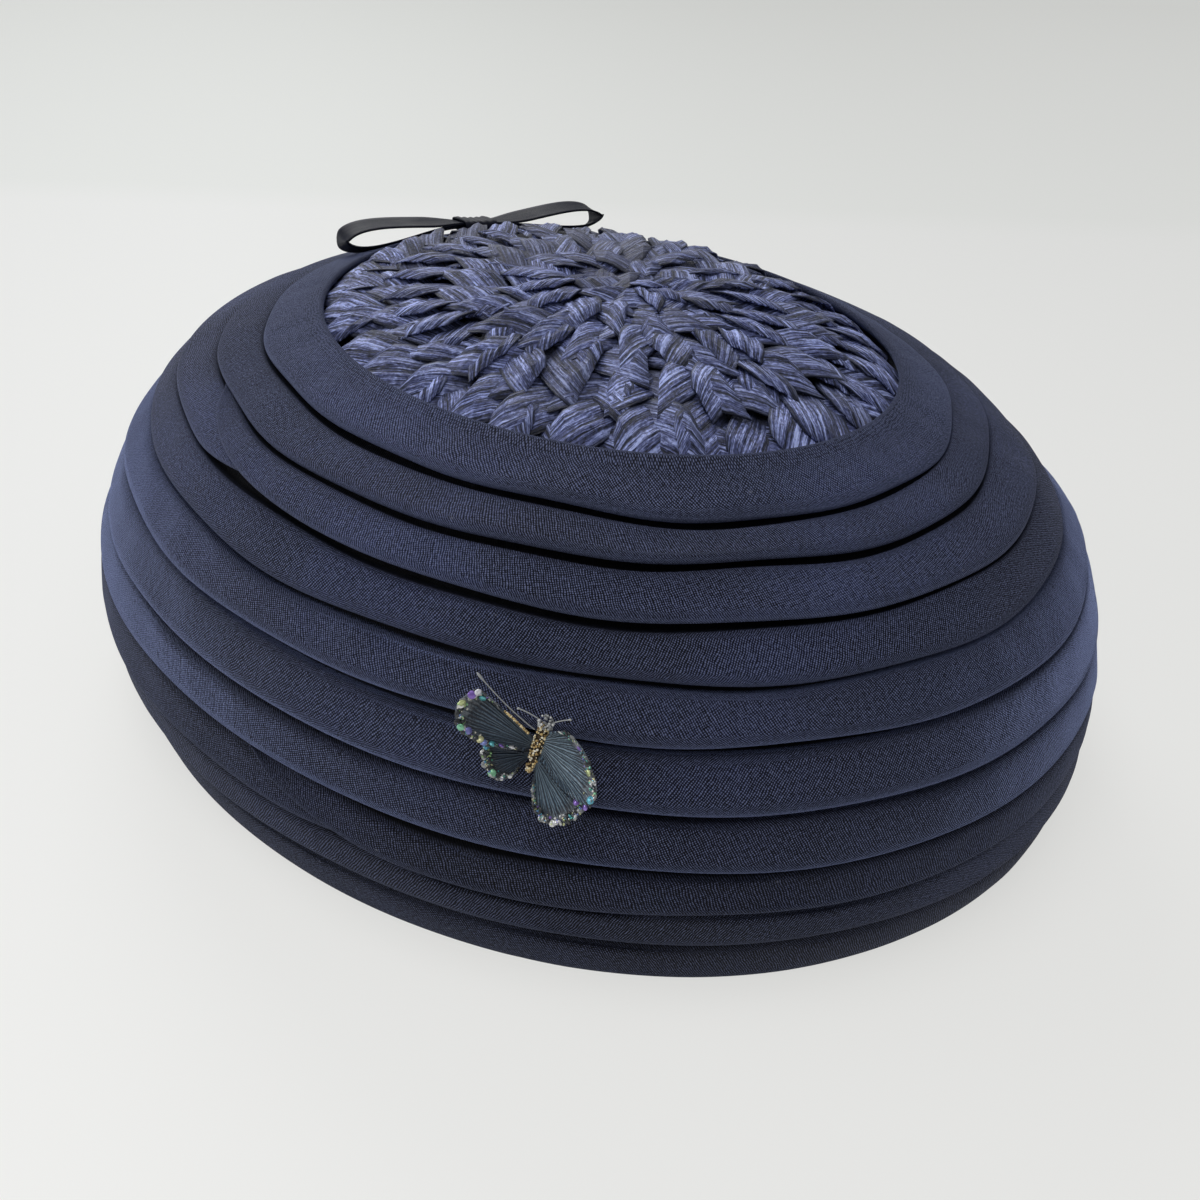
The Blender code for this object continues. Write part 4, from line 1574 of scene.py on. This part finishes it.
# The studio
class Studio:
    """Pale paper floor and backdrop, soft lights and the camera."""

    def build_floor(self) -> None:
        """Lay the floor paper, which runs on as the backdrop."""
        form = bmesh.new()
        bmesh.ops.create_grid(form, x_segments=2, y_segments=2, size=6.0)
        piece = add_mesh(form, "studio_floor", PaperFinish("floor_paper").make())

    def light(self, name: str, source: Triple, spread: float, strength: float,
              colour: Colour = (1.0, 1.0, 1.0)) -> None:
        """Add one wide soft light from far off.

        Args:
            name: The light's name.
            source: The direction that it comes from.
            spread: How wide it looks, in degrees.
            strength: Its strength.
            colour: Its colour.
        """
        lamp = bpy.data.lights.new(name, "SUN")
        lamp.angle = math.radians(spread)
        lamp.energy = strength
        lamp.color = colour
        turn = (-Vector(source)).to_track_quat("-Z", "Y").to_matrix().to_4x4()
        add_object(name, lamp).matrix_world = Matrix.Translation(source) @ turn

    def build_lights(self) -> None:
        """Hang the lights and fill the room with even light."""
        self.light("soft_top", (-0.15, -0.12, 0.95), 36.0, 0.95)
        self.light("soft_back", (-0.66, 0.58, 0.48), 28.0, 0.95)
        self.light("soft_left", (-0.95, -0.32, 0.03), 26.0, 1.75, (0.97, 0.98, 1.0))
        world = bpy.data.worlds.new("studio_room")
        world.use_nodes = True
        nodes = world.node_tree.nodes
        room = nodes["Background"]
        room.inputs["Color"].default_value = (0.93, 0.95, 1.0, 1.0)
        seen = nodes.new("ShaderNodeBackground")
        seen.inputs["Color"].default_value = (0.74, 0.75, 0.735, 1.0)
        way = nodes.new("ShaderNodeTexCoord")
        toward = nodes.new("ShaderNodeVectorMath")
        toward.operation = "DOT_PRODUCT"
        toward.inputs[1].default_value = (-0.52, 0.74, 0.42)
        rise = nodes.new("ShaderNodeMapRange")
        for name, value in (("From Min", -0.8), ("From Max", 0.9),
                            ("To Min", 0.20), ("To Max", 0.50)):
            rise.inputs[name].default_value = value
        ray = nodes.new("ShaderNodeLightPath")
        mixed = nodes.new("ShaderNodeMixShader")
        for source, target in (
                (way.outputs["Generated"], toward.inputs[0]),
                (toward.outputs["Value"], rise.inputs["Value"]),
                (rise.outputs["Result"], room.inputs["Strength"]),
                (ray.outputs["Is Camera Ray"], mixed.inputs[0]),
                (room.outputs["Background"], mixed.inputs[1]),
                (seen.outputs["Background"], mixed.inputs[2]),
                (mixed.outputs["Shader"], nodes["World Output"].inputs["Surface"])):
            world.node_tree.links.new(source, target)
        bpy.context.scene.world = world

    def build_camera(self) -> None:
        """Set the camera at the photograph's angle."""
        lens = bpy.data.cameras.new("photo_angle")
        lens.lens = 36.0
        lens.sensor_width = 36.0
        lens.clip_start = 0.01
        holder = add_object("photo_angle", lens)
        right = Vector((0.8461, 0.5314, 0.0421)).normalized()
        forward = Vector((-0.4057, 0.6931, -0.5958)).normalized()
        up = right.cross(forward).normalized()
        right = forward.cross(up)
        turn = Matrix((right, up, -forward)).transposed().to_4x4()
        holder.matrix_world = Matrix.Translation((0.10879, -0.17752, 0.16193)) @ turn
        bpy.context.scene.camera = holder

    def build(self) -> None:
        """Set up the studio."""
        self.build_camera()
        self.build_floor()
        self.build_lights()
        bpy.context.scene.view_settings.view_transform = "Standard"


# Cloth of each tier, from the straw down, each with a painted brightness: the lower tiers painted
# darker as they face down and away from the light, the upper ones lighter
TIER_FINISHES = (
    ClothFinish("tier_01_cloth", grain=42.0, painted_brightness=1.46, sheen=0.26),
    ClothFinish("tier_02_cloth", grain=24.0, slubs=0.8, painted_brightness=1.12, sheen=0.10),
    ClothFinish("tier_03_cloth", grain=15.0, slubs=0.8, painted_brightness=1.56, sheen=0.05),
    ClothFinish("tier_04_cloth", grain=-28.0, painted_brightness=1.14, sheen=0.06),
    ClothFinish("tier_05_cloth", grain=31.0, painted_brightness=1.20, sheen=0.90),
    ClothFinish("tier_06_cloth", grain=-36.0, painted_brightness=0.94, sheen=1.0),
    ClothFinish("tier_07_cloth", grain=28.0, painted_brightness=0.72, sheen=1.0),
    ClothFinish("tier_08_cloth", grain=20.0, rib=0.00041, painted_brightness=0.50, sheen=0.18),
    ClothFinish("tier_09_cloth", grain=-33.0, painted_brightness=0.54, sheen=0.12),
    ClothFinish("tier_10_cloth", grain=26.0, painted_brightness=0.45, sheen=0.08),
)

LAPS = {3: Lap(-130.0, 35.0, 26.0), 8: Lap(-95.0, 19.0, 22.0)}


def main() -> None:
    """Build the hat and its studio."""
    logging.basicConfig(level=logging.INFO, format="%(name)s %(message)s")
    crown = CrownShape.from_frame()
    StrawTop(crown, StrawFinish("navy_paper_straw")).build()
    for row, finish in enumerate(TIER_FINISHES, start=1):
        Tier(row, crown, finish, LAPS.get(row)).build()
    Bow(crown, SatinFinish("navy_satin")).build()
    Butterfly(crown).build()
    Studio().build()


if __name__ == "__main__":
    main()
